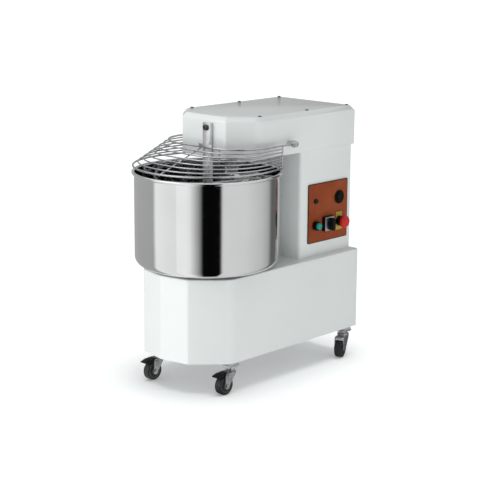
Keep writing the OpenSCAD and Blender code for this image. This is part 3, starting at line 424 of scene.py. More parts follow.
# Breaker bar: a flat stainless bar with a round lower end, bolted on the front of the head
# and hanging into the bowl just ahead of the spiral.
stainless = new_finish("stainless", (0.66, 0.67, 0.68), Metallic=1.0)
tint(stainless, add_noise(stainless, 40.0), (0.6, 0.61, 0.62), (0.72, 0.73, 0.74))
vary_gloss(stainless, add_noise(stainless, 260.0, stretch=(1, 1, 0.05)), 0.2, 0.32)
roughen(stainless, add_noise(stainless, 900.0, stretch=(1, 1, 0.03)), 0.05, 0.0002)
BAR_END_R, BAR_CORNER_R, BAR_EDGE_R = BAR_HALF - 0.0002, 0.002, 0.0012
bar_low, bar_high = (BAR_X - BAR_HALF, BAR_FRONT, BAR_LOW), (BAR_X + BAR_HALF, HEAD_FRONT, BAR_TOP)
bar = block("breaker_bar_flat", bar_low, bar_high)
round_edges(bar, lambda c, d: abs(d.y) > 0.9 and c.z < BAR_LOW + NEAR, BAR_END_R, 10)
round_edges(bar, lambda c, d: abs(d.y) > 0.9 and c.z > BAR_TOP - NEAR, BAR_CORNER_R, 2)
round_edges(bar, lambda c, d: abs(d.y) < 0.5 and abs(c.y - BAR_FRONT) < HAIR, BAR_EDGE_R, 2)
fit(bar, stainless, "frame", "stainless", "breaker_bar")


# Bowl: spun stainless steel, polished like a mirror, with a rounded bottom and a rolled rim.
# It is fixed on a flanged shaft that turns it.
BOWL_R, BOWL_WALL, BOWL_CORNER = 0.229, 0.0025, 0.029
BOWL_LOW, RIM_Z, RIM_R, RIM_BEAD, RIM_FOOT = 0.3735, 0.6675, 0.2318, 0.005, 0.003
POLE_R, FLANGE_R, WALL_LOW, WALL_MIDDLE, WALL_HIGH = 0.002, 0.09, 0.5, 0.55, 0.6


def arc(r, z, radius, start, end, count):
    """Steps on an arc of a profile, from one angle to another."""
    angles = [math.radians(start + (end - start) * k / count) for k in range(count + 1)]
    return [(r + radius * math.cos(a), z + radius * math.sin(a)) for a in angles]


polished_steel = new_finish("polished_steel", (0.78, 0.785, 0.79), Metallic=1.0)
tint(polished_steel, add_noise(polished_steel, 6.0), (0.76, 0.765, 0.77), (0.8, 0.805, 0.81))
vary_gloss(polished_steel, add_noise(polished_steel, 30.0, stretch=(1, 1, 6)), 0.05, 0.09)
roughen(polished_steel, add_noise(polished_steel, 60.0, stretch=(0.2, 0.2, 9)), 0.015, 0.0003)
inner_r, inner_corner, flat_r = BOWL_R - BOWL_WALL, BOWL_CORNER - BOWL_WALL, BOWL_R - BOWL_CORNER
bowl_steps = [(POLE_R, BOWL_LOW), (FLANGE_R, BOWL_LOW)]
bowl_steps += arc(flat_r, BOWL_LOW + BOWL_CORNER, BOWL_CORNER, -90, 0, 10)
bowl_steps += [(BOWL_R, WALL_LOW), (BOWL_R, WALL_HIGH)]
bowl_steps += arc(RIM_R, RIM_Z, RIM_BEAD, -124, 178, 18)
bowl_steps += [(inner_r, RIM_Z - RIM_FOOT), (inner_r, WALL_MIDDLE)]
bowl_steps += arc(flat_r, BOWL_LOW + BOWL_CORNER, inner_corner, 0, -90, 10)
bowl_steps += [(FLANGE_R, BOWL_LOW + BOWL_WALL), (POLE_R, BOWL_LOW + BOWL_WALL)]
bowl = stand(turned("bowl_spun", bowl_steps, 160), (0, AXIS_Y, 0))
fit(bowl, polished_steel, "bowl", "polished_stainless", "bowl", smooth=40)


# Spiral: a thick round stainless bar, wound from its boss out and down to the bowl's floor.
# The boss holds it on the shaft that comes down out of the head.
SPIRAL_R, SPIRAL_D, SPIRAL_TURNS, SPIRAL_STEPS = 0.092, 0.022, 1.75, 160
TOOL_TOP, TOOL_LOW, TOOL_OUT, TOOL_SAG = 0.655, 0.399, 0.16, 0.1


def swept(name, points, diameter, fineness=4):
    """A round bar along points."""
    deselect()
    bpy.ops.curve.primitive_bezier_curve_add()
    rod = bpy.context.object
    rod.data.splines.clear()
    line = rod.data.splines.new("POLY")
    line.points.add(len(points) - 1)
    for spot, point in zip(line.points, points):
        spot.co = (*point, 1)
    rod.data.dimensions = "3D"
    rod.data.bevel_depth = diameter / 2
    rod.data.bevel_resolution = fineness
    rod.data.use_fill_caps = True
    take(rod)
    bpy.ops.object.convert(target="MESH")
    piece = bpy.context.object
    piece.name = piece.data.name = name
    bpy.ops.object.mode_set(mode="EDIT")
    bpy.ops.mesh.select_all(action="SELECT")
    bpy.ops.mesh.remove_doubles(threshold=0.00001)
    bpy.ops.mesh.normals_make_consistent(inside=False)
    bpy.ops.object.mode_set(mode="OBJECT")
    return piece


def spiral_point(u):
    """Place on the spiral at a share of its length: first out from the boss, then down."""
    angle = math.radians(-90 + 360 * SPIRAL_TURNS * u)
    radius = SPIRAL_R * math.sin(math.radians(90 * min(1, u / TOOL_OUT)))
    late = (1 - TOOL_SAG) * TOOL_OUT
    down = TOOL_SAG * u if u < TOOL_OUT else (u - late) / (1 - late)
    x, y = radius * math.cos(angle), SPIRAL_Y + radius * math.sin(angle)
    return (x, y, TOOL_TOP + (TOOL_LOW - TOOL_TOP) * down)


spiral_path = [spiral_point(k / SPIRAL_STEPS) for k in range(SPIRAL_STEPS + 1)]
spiral_bar = swept("spiral_bar", spiral_path, SPIRAL_D, 6)
boss = turned("spiral_boss", [(0.019, -0.013), (0.023, -0.009), (0.023, 0.009), (0.019, 0.013)], 48)
stand(boss, (0, SPIRAL_Y, TOOL_TOP))
fit(join([spiral_bar, boss], "spiral_wound"), stainless, "spiral", "stainless", "spiral_tool")


# Guard: a stainless wire cage over the bowl, welded from level wires that change from the
# round ring to the frame round the head, with slanted wires under them and a small plate on the
# frame. It lifts on two hinge bolts in the sides of the head.
RING_R, RING_Z, RING_ON, RING_END = 0.232, 0.6885, 12, 0.110
FRAME_HALF, FRAME_FRONT, FRAME_R, POST_Y = 0.190, 0.055, 0.120, 0.138
HINGE_Y, HINGE_Z = 0.192, 0.754
FRAME_D, WIRE_D, WIRE_COUNT = 0.006, 0.0045, 6
RIB_X, TIE_LOW, TIE_HIGH, TIE_FROM = BAR_X + 0.001, -51, -74, 4
RIB_DROP, POST_BACK, CORNER_STEPS = 0.0039, 0.002, 27
PLATE_LEFT, PLATE_RIGHT, PLATE_EDGE_R = RIB_X - 0.003, RIB_X + 0.054, 0.0008
PLATE_FRONT, PLATE_BACK = AXIS_Y - FRAME_FRONT - 0.0055, AXIS_Y - FRAME_FRONT - 0.0025
PLATE_LOW, PLATE_TOP = HINGE_Z - 0.001, HINGE_Z + 0.011
HINGE_HEAD_X = 0.1963


def between(a, b, t):
    return a + (b - a) * t


def guard_corner(t):
    """Middle and radius of the right front corner at a share of the way from the ring to the frame."""
    radius = between(RING_R, FRAME_R, t)
    x = between(RING_R, FRAME_HALF, t) - radius
    y = AXIS_Y - between(RING_R, FRAME_FRONT, t) + radius
    return Vector((x, y, between(RING_Z, HINGE_Z, t))), radius


def guard_spot(t, angle):
    """Place on the right front corner, at an angle from the side."""
    middle, radius = guard_corner(t)
    a = math.radians(angle)
    return middle + Vector((radius * math.cos(a), radius * math.sin(a), 0))


def guard_front(t, x):
    """Place on a level wire's front."""
    middle, radius = guard_corner(t)
    past = max(0, x - middle.x)
    return Vector((x, middle.y - math.sqrt(radius ** 2 - past ** 2), middle.z))


def guard_tip(t, end):
    """Right end of a level wire."""
    on = between(RING_ON, 0, t)
    spot = guard_spot(t, on)
    return Vector((spot.x - (AXIS_Y + end - spot.y) * math.tan(math.radians(on)), AXIS_Y + end, spot.z))


def guard_path(t, end):
    """Points of a level wire, from its right end round the front to its left end."""
    on = between(RING_ON, 0, t)
    round_part = [guard_spot(t, between(on, -90, k / CORNER_STEPS)) for k in range(CORNER_STEPS + 1)]
    right = [guard_tip(t, end)] + round_part
    left = [Vector((-p.x, p.y, p.z)) for p in reversed(right)]
    return right + (left if right[-1].x > NEAR else left[1:])


def mirrored(steps):
    """A profile's lower half with its mirror image above it."""
    return steps + [(r, -z) for r, z in reversed(steps)]


wires = [swept("wire", guard_path(0, RING_END), FRAME_D), swept("wire", guard_path(1, HINGE_Y), FRAME_D)]
for k in range(1, WIRE_COUNT + 1):
    t = k / (WIRE_COUNT + 1)
    wires.append(swept("wire", guard_path(t, between(RING_END, POST_Y, t)), WIRE_D))
below, behind = Vector((0, 0, -RIB_DROP)), Vector((0, POST_BACK, 0))
ribs = [(guard_front(0, RIB_X), guard_front(1, RIB_X))]
for side in (1, -1):
    flip = Vector((side, 1, 1))
    tie_foot = guard_spot(TIE_FROM / (WIRE_COUNT + 1), TIE_LOW)
    ribs.append((tie_foot * flip, guard_spot(1, TIE_HIGH) * flip))
    post = [guard_tip(0, RING_END) * flip + behind, guard_tip(1, POST_Y) * flip + behind]
    wires.append(swept("wire", post, WIRE_D))
    eye = turned("eye", mirrored([(0.0052, -0.006), (0.010, -0.006), (0.011, -0.005)]), 40)
    wires.append(stand(eye, (side * FRAME_HALF, AXIS_Y + HINGE_Y, HINGE_Z), FACE_X))
for low, high in ribs:
    wires.append(swept("wire", [low + below, high + below], WIRE_D))
plate = block("guard_plate", (PLATE_LEFT, PLATE_FRONT, PLATE_LOW), (PLATE_RIGHT, PLATE_BACK, PLATE_TOP))
round_edges(plate, lambda c, d: True, PLATE_EDGE_R, 2)
wires.append(plate)
guard = join(wires, "guard_cage")
wire_steel = new_finish("wire_steel", (0.5, 0.51, 0.52), Metallic=1.0)
tint(wire_steel, add_noise(wire_steel, 50.0), (0.44, 0.45, 0.46), (0.56, 0.57, 0.58))
vary_gloss(wire_steel, add_noise(wire_steel, 200.0), 0.18, 0.28)
fit(guard, wire_steel, "guard", "stainless", "guard", smooth=50)

hinge_parts = []
for side in (1, -1):
    collar = turned("collar", [(0.009, 0.0), (0.009, 0.0135), (0.0085, 0.0142), (0.006, 0.0142)], 32)
    hinge_parts.append(stand(collar, (side * HEAD_HALF, AXIS_Y + HINGE_Y, HINGE_Z), (0, 90 * side, 0)))
    top = socket_bolt("hinge_head", radius=0.009, height=0.007, socket=0.0042)
    hinge_parts.append(stand(top, (side * HINGE_HEAD_X, AXIS_Y + HINGE_Y, HINGE_Z), (0, 90 * side, 0)))
fit(join(hinge_parts, "hinge_bolt_heads"), stainless, "frame", "stainless", "hinge_bolts")


# Control panel: a plate with a satin copper-brown film and a dark edge, on the right side of
# the column, with the switches clamped through it.
PANEL_X, PANEL_T = 0.164, 0.003
PANEL_Y, PANEL_Z, PANEL_HALF = AXIS_Y + 0.389, 0.509, 0.0975
PANEL_FACE, PANEL_CORNER_R, PANEL_EDGE = PANEL_X + PANEL_T, 0.005, 0.003
copper_film = new_finish("copper_film", (0.31, 0.058, 0.013), Specular_IOR_Level=0.12)
tint(copper_film, add_noise(copper_film, 9.0), (0.28, 0.048, 0.01), (0.35, 0.075, 0.02))
vary_gloss(copper_film, add_noise(copper_film, 70.0, stretch=(1, 8, 1)), 0.45, 0.6)
roughen(copper_film, add_noise(copper_film, 800.0, stretch=(1, 0.05, 1)), 0.06, 0.0002)
dark_edge = new_finish("dark_edge", (0.08, 0.028, 0.012), Specular_IOR_Level=0.15)
tint(dark_edge, add_noise(dark_edge, 50.0), (0.065, 0.022, 0.009), (0.095, 0.035, 0.016))
vary_gloss(dark_edge, add_noise(dark_edge, 90.0), 0.4, 0.55)
panel_low = (PANEL_X, PANEL_Y - PANEL_HALF, PANEL_Z - PANEL_HALF)
panel_high = (PANEL_FACE, PANEL_Y + PANEL_HALF, PANEL_Z + PANEL_HALF)
panel = block("panel_plate", panel_low, panel_high)
round_edges(panel, lambda c, d: abs(d.x) > 0.9, PANEL_CORNER_R, 4)
choose(panel, "FACE", lambda c, n: n.x > 0.9)
bpy.ops.mesh.inset(thickness=PANEL_EDGE, depth=0)
fit(panel, dark_edge, "frame", "panel_copper", "control_panel")
panel.data.materials.append(copper_film)
for face in panel.data.polygons:
    face.material_index = 1 if face.normal.x > 0.9 and len(face.vertices) > 4 else 0


# Pilot lamp and timer: a dark domed lens in a ring, and a black plastic knob, ribbed for the
# fingers, on a skirt. Both stand on the upper half of the panel.
TIMER_SIDES, FLUTE_EVERY, FLUTE_DEPTH, FLUTE_EDGE = 60, 3, 0.001, 0.0003
def on_panel(piece, y, z, out=0.0):
    """Puts a piece that was turned about Z on the panel, facing out."""
    return stand(piece, (PANEL_FACE + out, AXIS_Y + y, z), FACE_X)


def flute(piece, low, high, radius):
    """Presses every few sides of the turned knob in, between two heights."""
    def is_flute(c, n):
        if abs(n.z) > 0.5 or not low < c.z < high or math.hypot(c.x, c.y) < radius * 0.9:
            return False
        return round(math.degrees(math.atan2(c.y, c.x)) * TIMER_SIDES / 360 - 0.5) % FLUTE_EVERY == 0

    choose(piece, "FACE", is_flute)
    bpy.ops.mesh.inset(thickness=FLUTE_EDGE, depth=-FLUTE_DEPTH, use_individual=True)
    bpy.ops.object.mode_set(mode="OBJECT")


black_plastic = new_finish("black_plastic", (0.004, 0.005, 0.0045), Specular_IOR_Level=0.14)
tint(black_plastic, add_noise(black_plastic, 60.0), (0.003, 0.0035, 0.003), (0.006, 0.0065, 0.006))
vary_gloss(black_plastic, add_noise(black_plastic, 120.0), 0.32, 0.48)
roughen(black_plastic, add_noise(black_plastic, 1400.0), 0.12, 0.0002)
dark_lens = new_finish("dark_lens", (0.004, 0.007, 0.005), Specular_IOR_Level=0.3)
tint(dark_lens, add_noise(dark_lens, 120.0), (0.003, 0.005, 0.004), (0.006, 0.01, 0.007))
vary_gloss(dark_lens, add_noise(dark_lens, 90.0), 0.1, 0.2)
CONTROLS_Y, CONTROL_STEP = 0.385, 0.058
NEAR_Y, FAR_Y, HIGH_Z, LOW_Z = CONTROLS_Y - CONTROL_STEP, CONTROLS_Y + CONTROL_STEP, 0.549, 0.469
lens_steps = [(0.0085, 0), (0.0085, 0.003), (0.0078, 0.0036), (0.0074, 0.0036), (0.0074, 0.006)]
lamp = turned("pilot_lens", lens_steps + arc(0, 0.0026, 0.0074, 38, 88, 8), 40)
fit(on_panel(lamp, NEAR_Y, HIGH_Z), dark_lens, "frame", "lamp_dark", "pilot_lamp")
timer_steps = [(0.022, 0.0005), (0.0225, 0.001), (0.0225, 0.0025), (0.0218, 0.0035), (0.0158, 0.0036)]
timer_steps += [(0.0155, 0.004), (0.0155, 0.008), (0.0148, 0.0091), (0.0135, 0.0095), (0.011, 0.0093)]
timer = turned("timer_grip", timer_steps, TIMER_SIDES)
flute(timer, low=0.0041, high=0.0079, radius=0.0155)
fit(on_panel(timer, FAR_Y, HIGH_Z), black_plastic, "timer_knob", "black_plastic", "timer_knob")


# Start button: a blue-green plastic cap that slides in a black plastic collar. The collar is
# clamped on the panel near its front edge.
green_plastic = new_finish("green_plastic", (0.01, 0.3, 0.26), Specular_IOR_Level=0.3)
tint(green_plastic, add_noise(green_plastic, 50.0), (0.008, 0.27, 0.235), (0.013, 0.33, 0.285))
vary_gloss(green_plastic, add_noise(green_plastic, 110.0), 0.2, 0.32)
ring_steps = [(0.0113, 0), (0.015, 0), (0.015, 0.0135), (0.0138, 0.015)]
ring_steps += [(0.0118, 0.015), (0.0113, 0.0145), (0.0113, 0.0006)]
collar = turned("start_ring", ring_steps, 48)
fit(on_panel(collar, NEAR_Y, LOW_Z), black_plastic, "frame", "black_plastic", "start_collar")
cap_steps = [(0.004, 0.005), (0.011, 0.005), (0.011, 0.0195)]
cap_steps += [(0.0106, 0.0208), (0.0096, 0.0216), (0.006, 0.022)]
cap = on_panel(turned("start_cap", cap_steps, 48), NEAR_Y, LOW_Z)
fit(cap, green_plastic, "start_button", "green_plastic", "start_button")


# Selector: a cam switch with a square black plastic body, a bright metal face plate and a long
# black plastic handle that turns on a round foot. The body stands on the panel.
SELECTOR_Y, SELECTOR_HALF, SELECTOR_T, BEZEL_T = AXIS_Y + CONTROLS_Y, 0.024, 0.012, 0.002
PLATE_CORNER_R, FINE = 0.003, 0.0002
bright_plate = new_finish("bright_plate", (0.5, 0.52, 0.54), Metallic=1.0)
tint(bright_plate, add_noise(bright_plate, 80.0), (0.44, 0.46, 0.48), (0.56, 0.58, 0.6))
vary_gloss(bright_plate, add_noise(bright_plate, 400.0, stretch=(1, 0.05, 1)), 0.25, 0.38)


def plate_on_panel(name, y, wide, high, out, thick, edge):
    """A plate with round corners and soft edges on the panel; wide and high are half sizes."""
    front = PANEL_FACE + out + thick
    plate = block(name, (PANEL_FACE + out, y - wide, LOW_Z - high), (front, y + wide, LOW_Z + high))
    round_edges(plate, lambda c, d: abs(d.x) > 0.9, PLATE_CORNER_R, 4)
    round_edges(plate, lambda c, d: abs(d.x) < 0.1 and c.x > front - FINE, edge, 3)
    return plate


body = plate_on_panel("selector_body", SELECTOR_Y, SELECTOR_HALF, SELECTOR_HALF, 0, SELECTOR_T, 0.0012)
fit(body, black_plastic, "frame", "black_plastic", "selector_plate")
FACE_HALF = SELECTOR_HALF - 0.001
face_plate = plate_on_panel("selector_face", SELECTOR_Y, FACE_HALF, FACE_HALF, SELECTOR_T, BEZEL_T, 0.0006)
fit(face_plate, bright_plate, "frame", "chrome_ring", "selector_bezel")
KNOB_OUT = SELECTOR_T + BEZEL_T + 0.0005
foot_steps = [(0.0125, 0), (0.0135, 0.001), (0.0135, 0.005), (0.0125, 0.006), (0.009, 0.006)]
knob_foot = turned("selector_foot", foot_steps, 48)
on_panel(knob_foot, CONTROLS_Y, LOW_Z, KNOB_OUT)
GRIP_HALF, GRIP_HIGH, GRIP_OUT, GRIP_END_R, GRIP_EDGE_R = 0.0075, 0.0205, 0.018, 0.0066, 0.0025
grip_rear, grip_front = PANEL_FACE + KNOB_OUT, PANEL_FACE + KNOB_OUT + GRIP_OUT
handle = block(
    "selector_grip", (grip_rear, SELECTOR_Y - GRIP_HALF, LOW_Z - GRIP_HIGH),
    (grip_front, SELECTOR_Y + GRIP_HALF, LOW_Z + GRIP_HIGH),
)
round_edges(handle, lambda c, d: abs(d.x) > 0.9, GRIP_END_R, 6)
round_edges(handle, lambda c, d: abs(d.x) < 0.1 and c.x > grip_front - FINE, GRIP_EDGE_R, 4)
handle = join([handle, knob_foot], "selector_handle")
fit(handle, black_plastic, "selector_knob", "black_plastic", "selector_knob")


# Emergency stop: a red plastic mushroom head that slides in a black plastic collar, with an
# upright yellow plate between the collar and the panel.
yellow_plastic = new_finish("yellow_plastic", (0.5, 0.36, 0.025))
tint(yellow_plastic, add_noise(yellow_plastic, 40.0), (0.46, 0.33, 0.02), (0.54, 0.39, 0.03))
vary_gloss(yellow_plastic, add_noise(yellow_plastic, 90.0), 0.3, 0.45)
red_plastic = new_finish("red_plastic", (0.6, 0.014, 0.01), Specular_IOR_Level=0.3)
tint(red_plastic, add_noise(red_plastic, 45.0), (0.56, 0.011, 0.008), (0.65, 0.018, 0.013))
vary_gloss(red_plastic, add_noise(red_plastic, 90.0), 0.22, 0.34)
legend = plate_on_panel("stop_backing", AXIS_Y + FAR_Y, 0.015, 0.030, 0, 0.002, 0.0006)
fit(legend, yellow_plastic, "frame", "yellow_plastic", "stop_legend")
stop_steps = [(0.008, 0.002), (0.0165, 0.002), (0.0165, 0.0145)]
stop_steps += [(0.0152, 0.016), (0.008, 0.016), (0.008, 0.0095)]
base_ring = turned("stop_base", stop_steps, 48)
fit(on_panel(base_ring, FAR_Y, LOW_Z), black_plastic, "frame", "black_plastic", "stop_collar")
head_steps = [(0.004, 0.0165), (0.0075, 0.0165), (0.0075, 0.0225), (0.0195, 0.0225), (0.0205, 0.0235)]
head_steps += [(0.0205, 0.0275), (0.0198, 0.0305), (0.0177, 0.0332), (0.0137, 0.0349)]
head_steps += [(0.0084, 0.0354), (0.003, 0.0355)]
mushroom = on_panel(turned("stop_head", head_steps, 56), FAR_Y, LOW_Z)
fit(mushroom, red_plastic, "stop_button", "red_plastic", "stop_mushroom")


# Drive inside the housings: bowl shaft, spiral shaft and lay shaft in their bearings, the
# motor on its plate, and the belt and chains between their wheels. They keep their CAD shapes.
ground_steel = new_finish("ground_steel", (0.5, 0.51, 0.52), Metallic=1.0)
tint(ground_steel, add_noise(ground_steel, 60.0), (0.44, 0.45, 0.46), (0.56, 0.57, 0.58))
vary_gloss(ground_steel, add_noise(ground_steel, 300.0, stretch=(1, 1, 8)), 0.25, 0.4)
finish_nodes(ground_steel, "bowl_shaft", "spiral_shaft", "lay_shaft")
finish_nodes(ground_steel, "bowl_bearings", "spiral_bearings", "lay_bearings")
oiled_steel = new_finish("oiled_steel", (0.16, 0.16, 0.165), Metallic=1.0)
tint(oiled_steel, add_noise(oiled_steel, 70.0), (0.1, 0.095, 0.09), (0.22, 0.22, 0.23))
vary_gloss(oiled_steel, add_noise(oiled_steel, 110.0), 0.3, 0.55)
roughen(oiled_steel, add_noise(oiled_steel, 500.0), 0.15, 0.0004)
finish_nodes(oiled_steel, "bowl_sprocket", "spiral_sprocket", "lay_wheels")
finish_nodes(oiled_steel, "motor_pulley", "head_chain", "base_chain")
cast_grey = new_finish("cast_grey", (0.2, 0.21, 0.23))
tint(cast_grey, add_noise(cast_grey, 40.0), (0.16, 0.17, 0.19), (0.24, 0.25, 0.27))
roughen(cast_grey, add_noise(cast_grey, 260.0), 0.3, 0.0008)
finish_nodes(cast_grey, "bowl_housing", "spiral_housing")
motor_paint = new_finish("motor_paint", (0.12, 0.17, 0.24))
tint(motor_paint, add_noise(motor_paint, 30.0), (0.1, 0.15, 0.21), (0.14, 0.19, 0.27))
vary_gloss(motor_paint, add_noise(motor_paint, 60.0), 0.35, 0.5)
finish_nodes(motor_paint, "motor")
belt_rubber = new_finish("belt_rubber", (0.02, 0.02, 0.02))
tint(belt_rubber, add_noise(belt_rubber, 80.0), (0.014, 0.014, 0.014), (0.03, 0.03, 0.03))
roughen(belt_rubber, add_noise(belt_rubber, 600.0), 0.3, 0.0005)
finish_nodes(belt_rubber, "drive_belt")
finish_nodes(black_plastic, "switch_blocks", "cable_gland")


# Castors: a zinc fork that swivels under a bolted plate, with a dark rubber tyre on a plastic
# hub. The two front ones have a black brake pedal over the wheel, and the two rear ones a fork
# pressed from one sheet that closes over it.
WHEEL_R, WHEEL_ROOM, AXLE_Z, TRAIL = 0.030, 0.0025, 0.030, 0.028
CASTORS = {
    "front_left": (-0.094, AXIS_Y - 0.124, 0), "front_right": (0.1685, AXIS_Y - 0.066, 0),
    "rear_left": (-0.1685, AXIS_Y + 0.478, 0), "rear_right": (0.1685, AXIS_Y + 0.478, 21),
}
grey_rubber = new_finish("grey_rubber", (0.022, 0.025, 0.025), Specular_IOR_Level=0.3)
tint(grey_rubber, add_noise(grey_rubber, 70.0), (0.017, 0.02, 0.02), (0.028, 0.031, 0.031))
vary_gloss(grey_rubber, add_noise(grey_rubber, 120.0), 0.5, 0.68)
roughen(grey_rubber, add_noise(grey_rubber, 900.0), 0.25, 0.0004)
# A darker copy of the zinc: painted shade for the front forks, which stand in shadow under the base. The
# axles of all four castors use it too.
shade_darkened_zinc = new_finish("shade_darkened_zinc", (0.34, 0.35, 0.35), Metallic=1.0)
tint(shade_darkened_zinc, add_noise(shade_darkened_zinc, 90.0), (0.28, 0.29, 0.29), (0.4, 0.41, 0.41))
vary_gloss(shade_darkened_zinc, add_noise(shade_darkened_zinc, 140.0), 0.3, 0.44)
hub_plastic = new_finish("hub_plastic", (0.09, 0.1, 0.1))
tint(hub_plastic, add_noise(hub_plastic, 70.0), (0.07, 0.078, 0.078), (0.11, 0.12, 0.12))
vary_gloss(hub_plastic, add_noise(hub_plastic, 120.0), 0.4, 0.55)

tyre_half = [(0.0215, -0.0105), (0.0255, -0.012)] + arc(0.0258, -0.0078, 0.0042, -90, 0, 6)
tyre = turned("tyre", mirrored(tyre_half), 72)
hub_half = [(0.0041, -0.0137), (0.009, -0.0137), (0.0095, -0.0132), (0.0105, -0.0098)]
hub_half += [(0.0185, -0.0088), (0.0205, -0.0108), (0.0217, -0.0108)]
hub = turned("hub", mirrored(hub_half), 56)

FORK_HALF, LEG_IN, CROWN_Z, FORK_TOP, SWIVEL_HOLE = 0.0165, 0.014, 0.0662, 0.070, 0.0066
FORK_FRONT, FORK_BACK, FORK_LOW, FORK_LEAN = -0.040, 0.016, 0.022, 0.034
LEG_END_R, CROWN_R, FORK_EDGE_R, SOFT_ABOVE = 0.009, 0.006, 0.0015, AXLE_Z + 0.02
HOLLOW_FRONT, HOLLOW_BACK = -0.0097, 0.03
fork = block("fork", (-FORK_HALF, FORK_FRONT, FORK_LOW), (FORK_HALF, FORK_BACK, FORK_TOP))
choose(fork, "VERT", lambda c, n: c.z < AXLE_Z and c.y > 0)
bpy.ops.transform.translate(value=(0, -FORK_LEAN, 0))
round_edges(fork, lambda c, d: abs(d.x) > 0.9 and c.z < AXLE_Z, LEG_END_R, 6)
round_edges(fork, lambda c, d: abs(d.x) > 0.9 and c.z > CROWN_Z, CROWN_R, 5)
round_edges(fork, lambda c, d: abs(d.x) < 0.1 and c.z > SOFT_ABOVE, FORK_EDGE_R, 3)
deselect()
bpy.ops.mesh.primitive_cylinder_add(
    vertices=72, radius=WHEEL_R + WHEEL_ROOM, depth=2 * LEG_IN,
    location=(0, -TRAIL, AXLE_Z), rotation=(0, math.pi / 2, 0),
)
cut(fork, bpy.context.object)
cut(fork, block("hollow", (-LEG_IN, HOLLOW_FRONT, 0.0), (LEG_IN, HOLLOW_BACK, CROWN_Z)))
race_steps = [(0.008, 0.0695), (0.0185, 0.0695), (0.0195, 0.0715)]
race_steps += [(0.0195, 0.0745), (0.017, 0.0776), (0.008, 0.0776)]
race = turned("race", race_steps, 48)
bore(race, SWIVEL_HOLE, (0, 0, FORK_TOP))
bore(fork, SWIVEL_HOLE, (0, 0, FORK_TOP))
fork = join([fork, race], "fork")

for name, (x, y, turn) in CASTORS.items():
    swivel = Matrix.Translation((x, y, 0)) @ Matrix.Rotation(math.radians(turn), 4, "Z")
    axle = swivel @ Vector((0, -TRAIL, AXLE_Z))
    for part, material, kind in ((tyre, grey_rubber, "tyre"), (hub, hub_plastic, "hub")):
        piece = stand(copy_of(part, f"{kind}_{name}"), (0, 0, 0), FACE_X)
        stand(piece, axle, (0, 0, turn))
        fit(piece, material, "wheel_" + name, "wheel_rubber", *(["wheel_" + name] if kind == "tyre" else []))
    # Axles and front forks take the zinc that is darkened with painted shade.
    finish_nodes(shade_darkened_zinc, "axle_" + name)
    if name.startswith("front"):
        finish_nodes(shade_darkened_zinc, "fork_" + name)
        continue
    piece = stand(copy_of(fork, "pressed_fork_" + name), (x, y, 0), (0, 0, turn))
    fit(piece, zinc, "fork_" + name, "zinc", "fork_" + name)
for part in (tyre, hub, fork):
    bpy.data.objects.remove(part)

PEDAL_HALF, PEDAL_Z, PEDAL_UNDER, PEDAL_OVER = 0.0134, 0.064, 0.0022, 0.007
PIVOT_AHEAD, PEDAL_TIP, PEDAL_TOE, PEDAL_WAIST, PEDAL_HEEL = 0.026, 0.042, 0.034, 0.022, 0.004
TIP_DROP, TOE_DROP, HEEL_DROP, PEDAL_EDGE_R = 0.0066, 0.0034, 0.0045, 0.0012
for side in ("left", "right"):
    x, y, _ = CASTORS["front_" + side]
    pivot = y - PIVOT_AHEAD
    tip, toe, heel = pivot - PEDAL_TIP, pivot - PEDAL_TOE, pivot + PEDAL_HEEL
    pedal_low = (x - PEDAL_HALF, tip, PEDAL_Z - PEDAL_UNDER)
    pedal = block("pedal_lever_" + side, pedal_low, (x + PEDAL_HALF, heel, PEDAL_Z + PEDAL_OVER))
    choose(pedal, "FACE", lambda c, n: True)
    for at in (toe, pivot - PEDAL_WAIST, pivot):
        bpy.ops.mesh.select_all(action="SELECT")
        bpy.ops.mesh.bisect(plane_co=(0, at, 0), plane_no=(0, 1, 0))
    for at, drop in ((tip, TIP_DROP), (toe, TOE_DROP), (heel, HEEL_DROP)):
        choose(pedal, "VERT", lambda c, n: abs(c.y - at) < HAIR and c.z > PEDAL_Z)
        bpy.ops.transform.translate(value=(0, 0, -drop))
    use(pedal, "BEVEL", width=PEDAL_EDGE_R, segments=3, limit_method="ANGLE", angle_limit=math.radians(30))
    fit(pedal, black_plastic, "pedal_" + side, "black_plastic", "pedal_" + side)


# Studio: a pale floor under a soft light from above that lights only it, a soft key light from
# the front left on all the rest, a white background, and a round wall, seen only in reflections,
# whose grey and black bands show in polished metal.
deselect()
bpy.ops.mesh.primitive_plane_add(size=40, location=(0, 0, 0))
floor = bpy.context.object
floor.name = "studio_floor"
pale_floor = new_finish(
    "pale_floor", (0.97, 0.97, 0.97), Roughness=0.9, Emission_Strength=0.19, Specular_IOR_Level=0.0
)
pale_floor.node_tree.nodes["Principled BSDF"].inputs["Emission Color"].default_value = (1, 1, 1, 1)
floor.data.materials.append(pale_floor)
floor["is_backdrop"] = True

CAMERA_AT, CAMERA_LENS, CAMERA_SHIFT = (2.991, -3.1017, 1.4124), 102.3, (0.004, -0.0493)
CAMERA_SIDE, CAMERA_DOWN, CAMERA_ROLL = 44.07, 11.95, 0.3
STUDIO_R, STUDIO_HIGH, STUDIO_Z = 1.5, 1.6, 0.802
deselect()
bpy.ops.mesh.primitive_cylinder_add(
    vertices=96, radius=STUDIO_R, depth=STUDIO_HIGH, location=(0, AXIS_Y, STUDIO_Z)
)
wall = bpy.context.object
wall.name = "studio_wall"
open_end(wall, lambda c, n: n.z > 0.9)
wall_bands = bpy.data.materials.new("wall_bands")
wall_bands.use_nodes = True
tree = wall_bands.node_tree
tree.nodes.clear()
out = tree.nodes.new("ShaderNodeOutputMaterial")
glow = tree.nodes.new("ShaderNodeEmission")
spot = tree.nodes.new("ShaderNodeTexCoord")
split = tree.nodes.new("ShaderNodeSeparateXYZ")
angle = tree.nodes.new("ShaderNodeMath")
angle.operation = "ARCTAN2"
